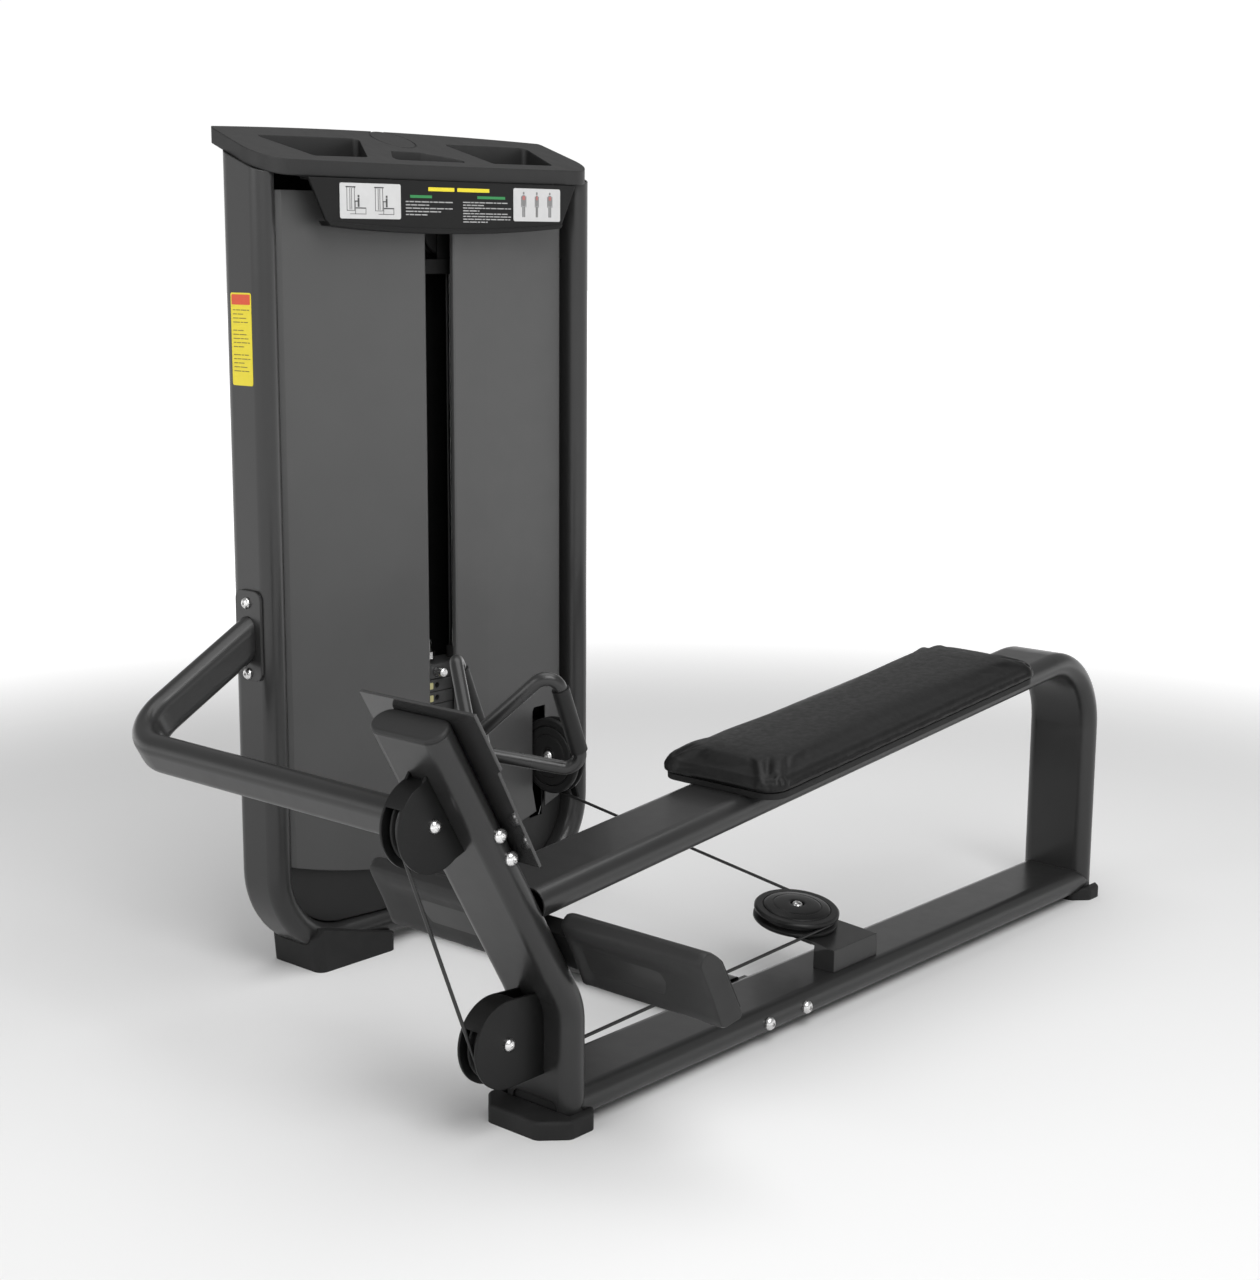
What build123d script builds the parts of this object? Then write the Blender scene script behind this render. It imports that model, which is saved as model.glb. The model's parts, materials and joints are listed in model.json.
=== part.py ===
"""Seated cable row: a weight tower beside a low bench, linked by one cable. Millimetres, +Z up.

Lengths are laid out from the bench: x across it (0 on its middle plane), y along it
(0 on the front face of the front post), z up from the floor. place() then moves every piece so
that the origin lies under the middle of the whole machine.
"""
from build123d import *
import math
import os

# ---- driving dimensions ------------------------------------------------------------------
# whole machine
FOOTPRINT_CENTRE = (-296.5, 688.0)   # bench x and y of the origin

# flat-oval tube of the bench and of the tower
BENCH_TUBE_W = 150.0
BENCH_TUBE_T = 50.0
TOWER_TUBE_W = 110.0
TOWER_TUBE_T = 50.0
WALL = 3.5

# tower
TOWER_X = -840.0
TOWER_MID_Y = 558.5
TOWER_HALF_Y = 433.5                 # outside of one upright from the tower's middle
TOWER_BEND_R = 155.0
TOWER_FLOOR_GAP = 23.0
CAP_FRONT_X = -772.0
CAP_REAR_X = -927.0
CAP_REAR_ARCH = 21.0
CAP_FRONT_Z = 1509.0                 # top of the cap's front edge
CAP_SLOPE = math.radians(20.5)
CAP_THICK = 28.0
CAP_WALL = 3.5
TRAY_DEPTH = 42.0
CAP_HALF_Y = 434.5
CAP_REAR_HALF_Y = 423.5
PLACARD_X = -752.0                   # front face of the board under the cap
SHEET = 2.5
SLOT_HALF = 38.0                     # half of the gap between the two front shrouds
SHROUD_TOP_Z = 1456.0

# weight stack
STACK_X = -835.0
PLATE_COUNT = 15
PLATE_T = 24.6
PLATE_PITCH = 25.4
PLATE_DEPTH = 62.0
PLATE_LENGTH = 300.0
STACK_BASE_Z = 134.0
STACK_SEAT_Z = 112.0                 # top of the bar that the rods stand on
ROD_R = 12.5
ROD_HALF_SPACING = 80.0
HEAD_PLATE_T = 30.0
ROD_TOP_Z = 1334.0
STEM_R = 11.0
PIN_R = 5.0

# front post, leaning forward above the bend
POST_LEAN = math.radians(30.0)
POST_BEND_Z = 200.0
POST_BEND_R = 100.0
POST_TOP_Z = 683.0                   # middle of the slanted top end
POST_FOOT_Z = 10.0

# lower beam, seat tube and rear leg
BEAM_Z = 37.0
REAR_LEG_Y = 1622.0
SEAT_Z0 = 389.0                      # height of the seat tube's middle line at y = 0
SEAT_SLOPE = 0.0925
SEAT_BEND_R = 150.0

# seat
PAD_W = 270.0
PAD_FRONT_Y = 440.0
PAD_REAR_Y = 1295.0
PAD_T = 43.0
BOARD_T = 11.0

# foot rests
REST_HALF = 355.0
REST_INNER = 80.0

# cable and pulleys
CABLE_R = 3.0
POST_PULLEY_R = 55.0                 # to the middle of the cable
POST_PULLEY_RIM = 61.0
POST_PULLEY_T = 24.0
BIG_PULLEY_R = 72.0
BIG_PULLEY_RIM = 80.0
BIG_PULLEY_T = 28.0
TOP_PULLEY_R = 50.0
TOP_PULLEY_RIM = 56.0
HANGER_HALF = 16.0                   # outer face of a hanger plate from the cable
AXLE_R = 6.0
UPPER_PULLEY = (-229.0, 536.0)       # y, z
LOWER_PULLEY = (-78.0, 157.0)
TOWER_PULLEY = (-763.0, 313.0)       # x, z
SIDE_CABLE_Y = 851.0                 # plane of the tower's own pulley
TOP_CABLE_Z = 1446.0
PULL_TILT = math.radians(22.0)       # the handle's cable rises towards the user
BEAM_CABLE_RISE = math.radians(1.75)
GUARD_R = 71.0
GUARD_T = 4.0
GUARD_HALF = 20.0                    # outer face of a guard plate from the cable's plane

# handle
HUB_FROM_PULLEY = 128.0              # along the cable, from the top of the upper pulley
HANDLE_SPREAD = math.radians(45.0)
HANDLE_REACH = 149.0
HANDLE_HALF_GRIP = 92.0
HANDLE_TUBE_R = 10.5
GRIP_R = 13.5

# bent tube from the tower to the post
LINK_W = 75.0
LINK_T = 45.0
LINK_TOP = (125.0, 655.0)            # y, z at the tower
LINK_LOW = (-148.0, 500.0)           # y, z along the front
LINK_BEND_R = 95.0

CROSS_BEAM_Y = 560.0
CROSS_BEAM_W = 122.0


# ---- helpers ----------------------------------------------------------------------------
def place(shape):
    """Move a shape from the bench's layout to the machine's own origin."""
    return Pos(-FOOTPRINT_CENTRE[0], -FOOTPRINT_CENTRE[1], 0) * shape


def tube(points, radii, width, thick, across, wall=WALL):
    """Flat-oval tube, hollow, along straight runs with round bends; across is its wide side."""
    path = FilletPolyline(*points, radius=radii) if len(points) > 2 else Line(*points)
    section = Plane(origin=points[0], x_dir=across, z_dir=path % 0)
    outer = sweep(section * SlotOverall(width, thick), path=path)
    if wall is None:
        return outer
    return outer - sweep(section * SlotOverall(width - 2 * wall, thick - 2 * wall), path=path)


def meet(p, d, q, e):
    """Point where the plane lines p + s d and q + t e cross, all as (y, z) pairs."""
    det = d[0] * e[1] - d[1] * e[0]
    s = ((q[0] - p[0]) * e[1] - (q[1] - p[1]) * e[0]) / det
    return (p[0] + s * d[0], p[1] + s * d[1])


def rod(start, end, radius):
    """Round bar between two points."""
    start = Vector(*start)
    axis = Vector(*end) - start
    frame = Plane(origin=start, z_dir=axis)
    return extrude(frame * Circle(radius), amount=axis.length)


def dome_bolt(head, tip, shank_r=AXLE_R, head_r=11.0, head_h=7.0, nut=True):
    """Bolt from its head's seat to its tip, with a domed socket head and a nut at the far end."""
    head = Vector(*head)
    axis = (Vector(*tip) - head).normalized()
    profile = outline(Polyline((0, 0), (head_r, 0), (head_r, head_h * 0.35)),
                      ThreePointArc((head_r, head_h * 0.35), (head_r * 0.72, head_h * 0.82),
                                    (0, head_h)),
                      Line((0, head_h), (0, 0)))
    dome = revolve(Plane.XZ * profile, Axis.Z)
    dome -= Pos(0, 0, head_h * 0.45) * extrude(RegularPolygon(head_r * 0.34, 6), head_h)
    body = Plane(origin=head, z_dir=axis * -1) * dome + rod(head, tip, shank_r)
    if nut:
        far = Plane(origin=Vector(*tip) - axis * 9.0, z_dir=axis)
        body += extrude(far * RegularPolygon(head_r * 0.95, 6), amount=8.0)
    return body


def grooved_pulley(centre, axis, pitch_r, rim_r, width, dish=0.0):
    """Pulley with a round groove for the cable and a bore on its axle."""
    groove_r = CABLE_R + 0.6
    half = width / 2
    with BuildSketch(Plane.XZ) as profile:
        with BuildLine():
            Polyline((AXLE_R + 0.3, -half), (rim_r - 3, -half), (rim_r, -half + 3),
                     (rim_r, -groove_r - 2.5), (pitch_r - 0.4, -groove_r))
            ThreePointArc((pitch_r - 0.4, -groove_r), (pitch_r - 0.4 - groove_r, 0),
                          (pitch_r - 0.4, groove_r))
            Polyline((pitch_r - 0.4, groove_r), (rim_r, groove_r + 2.5), (rim_r, half - 3),
                     (rim_r - 3, half), (AXLE_R + 0.3, half), (AXLE_R + 0.3, -half))
        make_face()
    wheel = revolve(profile.sketch, Axis.Z)
    if dish:
        for z in (half - dish, -half):
            ring = Circle(rim_r - 16) - Circle(17)
            wheel -= Pos(0, 0, z) * extrude(ring, amount=dish)
    return Plane(origin=Vector(*centre), z_dir=Vector(*axis)) * wheel


def outline(*curves):
    """Face bounded by lines and arcs that meet end to end."""
    return make_face([edge for curve in curves for edge in curve.edges()])


def yz_prism(points, x0, x1, radii=0.0):
    """Solid with a (y, z) outline between two x planes."""
    face = make_face(Polyline(*[(0, y, z) for y, z in points], close=True))
    solid = Pos(x0, 0, 0) * extrude(face, amount=x1 - x0, dir=(1, 0, 0))
    if radii:
        solid = fillet(solid.edges().filter_by(Axis.X), radii)
    return solid


def xy_prism(points, z0, z1, radii=0.0):
    """Solid with an (x, y) outline between two heights."""
    face = make_face(Polyline(*[(x, y, z0) for x, y in points], close=True))
    solid = extrude(face, amount=z1 - z0, dir=(0, 0, 1))
    if radii:
        solid = fillet(solid.edges().filter_by(Axis.Z), radii)
    return solid


# ---- the cable's route -------------------------------------------------------------------
def cable_plan():
    """Corners where the cable's straight runs would meet, and each pulley's middle and axis."""
    along = Vector(0, LOWER_PULLEY[0] - UPPER_PULLEY[0], LOWER_PULLEY[1] - UPPER_PULLEY[1])
    along = along.normalized()
    run = (along.Y, along.Z)
    front = (along.Z, -along.Y)
    pull = (math.cos(PULL_TILT), math.sin(PULL_TILT))
    rise = (math.cos(BEAM_CABLE_RISE), math.sin(BEAM_CABLE_RISE))
    front_line = (UPPER_PULLEY[0] + POST_PULLEY_R * front[0],
                  UPPER_PULLEY[1] + POST_PULLEY_R * front[1])
    over = (UPPER_PULLEY[0] - POST_PULLEY_R * pull[1], UPPER_PULLEY[1] + POST_PULLEY_R * pull[0])
    under = (LOWER_PULLEY[0] + POST_PULLEY_R * rise[1], LOWER_PULLEY[1] - POST_PULLEY_R * rise[0])
    k1 = meet(front_line, run, over, pull)
    k2 = meet(front_line, run, under, rise)
    k3 = Vector(0, SIDE_CABLE_Y, under[1] + (SIDE_CABLE_Y - under[0]) * math.tan(BEAM_CABLE_RISE))
    # the rising run ends under the tower's pulley, tangent to it
    px, pz = TOWER_PULLEY
    gap = math.hypot(px, pz - k3.Z)
    slope = math.atan2(pz - k3.Z, -px) - math.asin(BIG_PULLEY_R / gap)
    up_x = px - BIG_PULLEY_R
    k4 = Vector(up_x, SIDE_CABLE_Y, k3.Z - up_x * math.tan(slope))
    k5 = Vector(up_x, SIDE_CABLE_Y, TOP_CABLE_Z)
    k6 = Vector(up_x, TOWER_MID_Y, TOP_CABLE_Z)
    return {
        "pull": Vector(0, pull[0], pull[1]),
        "over": Vector(0, over[0], over[1]),
        "corners": [Vector(0, *k1), Vector(0, *k2), k3, k4, k5, k6],
        "rise": Vector(0, rise[0], rise[1]),
        "to_tower": Vector(-math.cos(slope), 0, math.sin(slope)),
    }


PLAN = cable_plan()
PULL = PLAN["pull"]
HUB = PLAN["over"] + PULL * HUB_FROM_PULLEY
TURN_CENTRE = PLAN["corners"][2] + (PLAN["to_tower"] - PLAN["rise"]) * BIG_PULLEY_R
TURN_AXIS = PLAN["rise"].cross(PLAN["to_tower"]).normalized()
STEM_TOP_Z = STACK_BASE_Z + PLATE_COUNT * PLATE_PITCH + HEAD_PLATE_T + 46.0


def cables():
    corners = PLAN["corners"]
    radii = [POST_PULLEY_R, POST_PULLEY_R, BIG_PULLEY_R, BIG_PULLEY_R, TOP_PULLEY_R, TOP_PULLEY_R]
    run_end = Vector(corners[5].X, corners[5].Y, TOP_CABLE_Z - TOP_PULLEY_R - 6)
    path = FilletPolyline(PLAN["over"] + PULL * 6, *corners, run_end, radius=radii)
    main = sweep(Plane(origin=path @ 0, z_dir=path % 0) * Circle(CABLE_R), path=path)
    handle_run = rod(PLAN["over"] + PULL * 6, HUB - PULL * 54.5, CABLE_R)
    stack_run = rod((run_end.X, run_end.Y, STEM_TOP_Z), run_end, CABLE_R)
    print("cable: main", round(path.length), "volume ratio",
          round(main.volume / (math.pi * CABLE_R ** 2 * path.length), 4))
    return {"cable_main": main, "cable_handle_run": handle_run, "cable_stack_run": stack_run}


# ---- tower ------------------------------------------------------------------------------
def cap_slab(top_offset, depth):
    """The sloping layer from top_offset above the cap's top plane, depth thick."""
    rise = math.tan(CAP_SLOPE)
    far = 300.0
    z0 = CAP_FRONT_Z + top_offset
    pts = [(CAP_FRONT_X + far, z0 - far * rise), (CAP_FRONT_X - far, z0 + far * rise),
           (CAP_FRONT_X - far, z0 + far * rise - depth), (CAP_FRONT_X + far, z0 - far * rise - depth)]
    face = make_face(Polyline(*[(x, -100, z) for x, z in pts], close=True))
    return extrude(face, amount=1400, dir=(0, 1, 0))


def cap_outline():
    mid = TOWER_MID_Y
    a = (CAP_FRONT_X, mid - CAP_HALF_Y, 0)
    b = (CAP_REAR_X, mid - CAP_REAR_HALF_Y, 0)
    c = (CAP_REAR_X, mid + CAP_REAR_HALF_Y, 0)
    d = (CAP_FRONT_X, mid + CAP_HALF_Y, 0)
    return outline(Line(a, b), ThreePointArc(b, (CAP_REAR_X - CAP_REAR_ARCH, mid, 0), c), Line(c, d),
                   ThreePointArc(d, (CAP_FRONT_X + 6, mid, 0), a))


def top_cap():
    """Hollow moulded cap: a sloping top with a rim, three deep trays and a shallow round mark."""
    prism = Pos(0, 0, 1380) * extrude(cap_outline(), amount=300)
    front = [e for e in prism.edges().filter_by(Axis.Z) if e.center().X > CAP_FRONT_X - 20]
    prism = fillet(front, 60)
    rear = [e for e in prism.edges().filter_by(Axis.Z) if e.center().X < CAP_REAR_X + 20]
    prism = fillet(rear, 9)
    base = prism.faces().sort_by(Axis.Z)[0]
    core = extrude(offset(base, -CAP_WALL, kind=Kind.INTERSECTION), amount=300, dir=(0, 0, 1))
    cap = (prism & cap_slab(0, CAP_THICK)) - (core & cap_slab(-CAP_WALL, CAP_THICK))
    trays = [
        [(-892, 205), (-900, 462), (-797, 392), (-793, 262)],
        [(-838, 486), (-836, 560), (-790, 676), (-790, 448)],
        [(-892, 672), (-895, 906), (-795, 884), (-791, 712)],
    ]
    for points in trays:
        well = xy_prism(points, 1380, 1680, 9.0)
        floor = well.faces().sort_by(Axis.Z)[0]
        tub = extrude(offset(floor, CAP_WALL, kind=Kind.INTERSECTION), amount=300, dir=(0, 0, 1))
        cap += tub & cap_slab(-1, TRAY_DEPTH + CAP_WALL - 1)
        cap -= well & cap_slab(60, 60 + TRAY_DEPTH)
    ring = Pos(-905, 552, 1380) * (Cylinder(46, 600) - Cylinder(43, 600))
    return cap - (ring & cap_slab(60, 61.4))


def tower_frame():
    low = TOWER_FLOOR_GAP + TOWER_TUBE_T / 2
    y0 = TOWER_MID_Y - TOWER_HALF_Y + TOWER_TUBE_T / 2
    y1 = TOWER_MID_Y + TOWER_HALF_Y - TOWER_TUBE_T / 2
    points = [(TOWER_X, y0, 1600), (TOWER_X, y0, low), (TOWER_X, y1, low), (TOWER_X, y1, 1600)]
    frame = tube(points, TOWER_BEND_R, TOWER_TUBE_W, TOWER_TUBE_T, (1, 0, 0))
    return frame - cap_slab(500, 500 + CAP_THICK)


def tower_foot(side):
    """Tapered rubber saddle under one lower bend of the tower's frame."""
    x0, x1 = TOWER_X - 70, TOWER_X + 73
    y_out, y_in = TOWER_HALF_Y - 88, TOWER_HALF_Y - 284
    points = [(y_out, 0), (y_out + 6, 66), (y_out - 12, 84), (y_in, 34), (y_in, 0)]
    points = [(TOWER_MID_Y + side * y, z) for y, z in points]
    block = yz_prism(points, x0, x1)
    upright_edges = block.edges().filter_by(lambda e: abs(e.tangent_at(0.5).Z) > 0.9)
    block = fillet(upright_edges, 18)
    low = TOWER_FLOOR_GAP + TOWER_TUBE_T / 2
    y0 = TOWER_MID_Y - TOWER_HALF_Y + TOWER_TUBE_T / 2
    y1 = TOWER_MID_Y + TOWER_HALF_Y - TOWER_TUBE_T / 2
    path = [(TOWER_X, y0, 400), (TOWER_X, y0, low), (TOWER_X, y1, low), (TOWER_X, y1, 400)]
    return block - tube(path, TOWER_BEND_R, TOWER_TUBE_W, TOWER_TUBE_T, (1, 0, 0), None)


def shroud_profile(side):
    """(x, y) line of a front shroud's face, from the upright to the middle slot."""
    edge = TOWER_HALF_Y - TOWER_TUBE_T - 14
    points = [(-818, edge), (-812, edge - 8), (-792, 132),
              (-786, SLOT_HALF + 3), (-788, SLOT_HALF), (-796, SLOT_HALF)]
    return [(x, TOWER_MID_Y + side * y) for x, y in points]


def shroud(side):
    """Folded front panel; its lower edge sags towards the middle of the tower."""
    line = Polyline(*shroud_profile(side))
    strip = make_face(offset_ribbon(line, SHEET))
    panel = Pos(0, 0, 120) * extrude(strip, amount=SHROUD_TOP_Z - 120, dir=(0, 0, 1))
    mid = TOWER_MID_Y
    bow = ThreePointArc((0, mid - 400, 216), (0, mid, 152), (0, mid + 400, 216))
    below = outline(bow, Polyline((0, mid + 400, 216), (0, mid + 400, 60),
                                  (0, mid - 400, 60), (0, mid - 400, 216)))
    panel -= Pos(-900, 0, 0) * extrude(below, amount=200, dir=(1, 0, 0))
    if side > 0:
        panel -= yz_prism([(SIDE_CABLE_Y - 6, 178), (SIDE_CABLE_Y + 22, 178), (SIDE_CABLE_Y + 22, 410),
                           (SIDE_CABLE_Y - 15, 410), (SIDE_CABLE_Y - 20, 402), (SIDE_CABLE_Y - 20, 236)],
                          -860, -780)
    return panel


def offset_ribbon(line, thick):
    """Closed outline of a sheet of the given thickness along an open polyline."""
    pts = [tuple(v) for v in line.vertices()]
    other = []
    for i, p in enumerate(pts):
        before = Vector(*pts[max(i - 1, 0)])
        after = Vector(*pts[min(i + 1, len(pts) - 1)])
        here = Vector(*p)
        d1 = (here - before).normalized() if i else (after - here).normalized()
        d2 = (after - here).normalized() if i < len(pts) - 1 else d1
        n1, n2 = Vector(-d1.Y, d1.X, 0), Vector(-d2.Y, d2.X, 0)
        n = (n1 + n2).normalized()
        other.append(tuple(here - n * (thick / max(n.dot(n1), 0.5))))
    return Polyline(*pts, *reversed(other), close=True)


def frame_opening(top, clear):
    """Block that fills the inside of the tower's frame up to a height, clear of its flat inner face."""
    half = TOWER_HALF_Y - TOWER_TUBE_T - clear
    low = TOWER_FLOOR_GAP + TOWER_TUBE_T + clear
    y0, y1 = TOWER_MID_Y - half, TOWER_MID_Y + half
    block = yz_prism([(y0, top), (y0, low), (y1, low), (y1, top)], -900, -700)
    bends = [e for e in block.edges().filter_by(Axis.X) if e.center().Z < low + 1]
    return fillet(bends, TOWER_BEND_R - TOWER_TUBE_T / 2 - clear)


def rear_shroud():
    """Folded rear panel with three shallow stiffeners; its edge lies along the tube's rounded side."""
    half = TOWER_HALF_Y - TOWER_TUBE_T - 4
    mid = TOWER_MID_Y
    fold_low, high = 206, 1490
    sheet = Pos(-886, mid, high / 2) * Box(SHEET, 2 * half + 40, high) & frame_opening(high + 10, -4.2)
    middle, length = (fold_low + high) / 2, high - fold_low
    for side in (-1, 1):
        sheet += Pos(-879, mid + side * (half - SHEET / 2), middle) * Box(16, SHEET, length)
    for y in (-240, 0, 240):
        sheet += Pos(-888.5, mid + y, 840) * Box(3.0, 60, 1150)
    return sheet - cap_slab(500, 500 + TRAY_DEPTH + CAP_WALL + 0.5)


def lower_cover():
    """Curved moulding that closes the bottom of the tower behind the shrouds' lower edge."""
    half = TOWER_HALF_Y - TOWER_TUBE_T - 3
    mid = TOWER_MID_Y
    line = Polyline((-828, mid - half), (-803, mid - 155), (-800, mid), (-803, mid + 155),
                    (-828, mid + half))
    strip = make_face(offset_ribbon(line, SHEET))
    panel = Pos(0, 0, 60) * extrude(strip, amount=176, dir=(0, 0, 1))
    slot = yz_prism([(SIDE_CABLE_Y - 20, 170), (SIDE_CABLE_Y + 22, 170),
                     (SIDE_CABLE_Y + 22, 300), (SIDE_CABLE_Y - 20, 300)], -860, -780)
    window = Pos(-800, mid, 230) * Box(60, 2 * SLOT_HALF - 4, 170)
    return (panel & frame_opening(400, 3)) - slot - window


def placard():
    """Board under the cap, with a curved lower lip and a flange that fixes it behind."""
    mid = TOWER_MID_Y
    face = outline(Polyline((0, mid + 306, 1402), (0, mid + 346, 1478),
                            (0, mid - 346, 1478), (0, mid - 306, 1402)),
                   ThreePointArc((0, mid - 306, 1402), (0, mid, 1390), (0, mid + 306, 1402)))
    board = Pos(PLACARD_X - 5, 0, 0) * extrude(face, amount=5, dir=(1, 0, 0))
    lip = outline(ThreePointArc((0, mid - 306, 1402), (0, mid, 1390), (0, mid + 306, 1402)),
                  Line((0, mid + 306, 1402), (0, mid + 300, 1394)),
                  ThreePointArc((0, mid + 300, 1394), (0, mid, 1381), (0, mid - 300, 1394)),
                  Line((0, mid - 300, 1394), (0, mid - 306, 1402)))
    board += Pos(PLACARD_X - 22, 0, 0) * extrude(lip, amount=25, dir=(1, 0, 0))
    flange = Pos(PLACARD_X - 17, mid, 1476) * Box(24, 680, 4)
    return board + flange


def instruction_panels():
    mid = TOWER_MID_Y
    panels = []
    for y0, y1 in ((-275, -128), (168, 300)):
        panel = yz_prism([(mid + y0, 1407), (mid + y1, 1407), (mid + y1, 1470), (mid + y0, 1470)],
                         PLACARD_X, PLACARD_X + 0.8, 4)
        panels.append(panel)
    return Compound(children=panels)


def crossbars():
    """Channels that hold the guide rods: one on the tower's lower tube, one between uprights."""
    base = TOWER_FLOOR_GAP + TOWER_TUBE_T
    low = Pos(STACK_X, TOWER_MID_Y, (base + STACK_SEAT_Z) / 2) * Box(60, 330, STACK_SEAT_Z - base)
    low -= Pos(STACK_X, TOWER_MID_Y, (base + STACK_SEAT_Z) / 2 - 3) * Box(54, 324, STACK_SEAT_Z - base)
    half = TOWER_HALF_Y - TOWER_TUBE_T
    high = Pos(STACK_X, TOWER_MID_Y, ROD_TOP_Z - 14) * Box(44, 2 * half, 28)
    high -= Pos(STACK_X, TOWER_MID_Y, ROD_TOP_Z - 17) * Box(38, 2 * half, 28)
    for side in (-1, 1):
        corner = Pos(STACK_X + 22, TOWER_MID_Y + side * half, ROD_TOP_Z - 14) * Box(24, 130, 30)
        high -= corner
    for y in (TOWER_MID_Y, SIDE_CABLE_Y):
        high -= Pos(STACK_X, y, ROD_TOP_Z) * Cylinder(9, 60)
    for y in rod_places():
        high -= Pos(STACK_X, y, ROD_TOP_Z) * Cylinder(ROD_R, 60)
        low -= Pos(STACK_X, y, STACK_SEAT_Z) * Cylinder(ROD_R, 30)
    return low, high


def rod_places():
    return [TOWER_MID_Y - ROD_HALF_SPACING, TOWER_MID_Y + ROD_HALF_SPACING]


def guide_rods():
    return Compound(children=[rod((STACK_X, y, 100), (STACK_X, y, ROD_TOP_Z + 4), ROD_R) for y in rod_places()])


def stack_bumpers():
    height = STACK_BASE_Z - STACK_SEAT_Z
    return Compound(children=[Pos(STACK_X, y, STACK_SEAT_Z + height / 2)
                              * (Cylinder(26, height) - Cylinder(ROD_R + 0.3, height))
                              for y in rod_places()])


def drilled_plate(z0, thick, rod_r, stem_r):
    """One cast weight plate with its rod holes, stem hole and the hole for the pin."""
    plate = Pos(STACK_X, TOWER_MID_Y, z0 + thick / 2) * Box(PLATE_DEPTH, PLATE_LENGTH, thick)
    plate = fillet(plate.edges().filter_by(Axis.Z), 6)
    plate = chamfer(plate.edges().filter_by(lambda e: abs(e.tangent_at(0.5).Z) < 0.1), 1.2)
    for y in rod_places():
        plate -= Pos(STACK_X, y, z0 + thick / 2) * Cylinder(rod_r, thick)
    plate -= Pos(STACK_X, TOWER_MID_Y, z0 + thick / 2) * Cylinder(stem_r, thick)
    bore = rod((STACK_X - 22, TOWER_MID_Y, z0 + thick / 2),
               (STACK_X + PLATE_DEPTH, TOWER_MID_Y, z0 + thick / 2), PIN_R + 0.6)
    return plate - bore


def weight_plates():
    return Compound(children=[drilled_plate(STACK_BASE_Z + i * PLATE_PITCH, PLATE_T, ROD_R + 1.5,
                                            STEM_R + 1.5) for i in range(PLATE_COUNT)])


HEAD_Z = STACK_BASE_Z + PLATE_COUNT * PLATE_PITCH
PIN_Z = HEAD_Z + HEAD_PLATE_T / 2


def head_plate():
    plate = drilled_plate(HEAD_Z, HEAD_PLATE_T, ROD_R + 0.5, STEM_R)
    for y in rod_places():
        sleeve = Cylinder(ROD_R + 5, 22) - Cylinder(ROD_R + 0.5, 22)
        plate += Pos(STACK_X, y, HEAD_Z + HEAD_PLATE_T + 11) * sleeve
    return plate


def selector_stem():
    """Drilled bar that hangs from the cable through every plate, with an eye nut on top."""
    stem = rod((STACK_X, TOWER_MID_Y, STACK_BASE_Z + 6), (STACK_X, TOWER_MID_Y, STEM_TOP_Z), STEM_R)
    stem += Pos(STACK_X, TOWER_MID_Y, HEAD_Z + HEAD_PLATE_T + 8) * extrude(RegularPolygon(19, 6), 14)
    for i in range(PLATE_COUNT + 1):
        z = STACK_BASE_Z + i * PLATE_PITCH + (PLATE_T if i < PLATE_COUNT else HEAD_PLATE_T) / 2
        stem -= rod((STACK_X - 20, TOWER_MID_Y, z), (STACK_X + 20, TOWER_MID_Y, z), PIN_R + 0.6)
    return stem


def selector_pin():
    face_x = STACK_X + PLATE_DEPTH / 2
    pin = rod((STACK_X - 14, TOWER_MID_Y, PIN_Z), (face_x + 4, TOWER_MID_Y, PIN_Z), PIN_R)
    knob = rod((face_x + 1, TOWER_MID_Y, PIN_Z), (face_x + 24, TOWER_MID_Y, PIN_Z), 9.5)
    knob = fillet(knob.edges().filter_by(lambda e: e.center().X > face_x + 20), 6)
    return pin + knob


def top_pulleys():
    z = TOP_CABLE_Z - TOP_PULLEY_R
    side = grooved_pulley((STACK_X, SIDE_CABLE_Y - TOP_PULLEY_R, z), (1, 0, 0), TOP_PULLEY_R,
                          TOP_PULLEY_RIM, POST_PULLEY_T)
    centre = grooved_pulley((STACK_X, TOWER_MID_Y + TOP_PULLEY_R, z), (1, 0, 0), TOP_PULLEY_R,
                            TOP_PULLEY_RIM, POST_PULLEY_T)
    return side, centre


def top_pulley_hangers():
    """Two pairs of plates that stand on the high bar, one pair for each top pulley."""
    z = TOP_CABLE_Z - TOP_PULLEY_R
    plates = []
    for y in (SIDE_CABLE_Y - TOP_PULLEY_R, TOWER_MID_Y + TOP_PULLEY_R):
        for x in (STACK_X - HANGER_HALF + 1.5, STACK_X + HANGER_HALF - 1.5):
            plate = yz_prism([(y - 22, z + 18), (y + 22, z + 18), (y + 22, ROD_TOP_Z),
                              (y - 22, ROD_TOP_Z)], x - 1.5, x + 1.5)
            plate = fillet([e for e in plate.edges().filter_by(Axis.X) if e.center().Z > z], 10)
            plates.append(plate - rod((x - 5, y, z), (x + 5, y, z), AXLE_R))
    return Compound(children=plates)


def top_pulley_bolts():
    z = TOP_CABLE_Z - TOP_PULLEY_R
    return Compound(children=[dome_bolt((STACK_X + HANGER_HALF, y, z), (STACK_X - HANGER_HALF - 9, y, z))
                              for y in (SIDE_CABLE_Y - TOP_PULLEY_R, TOWER_MID_Y + TOP_PULLEY_R)])


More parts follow.
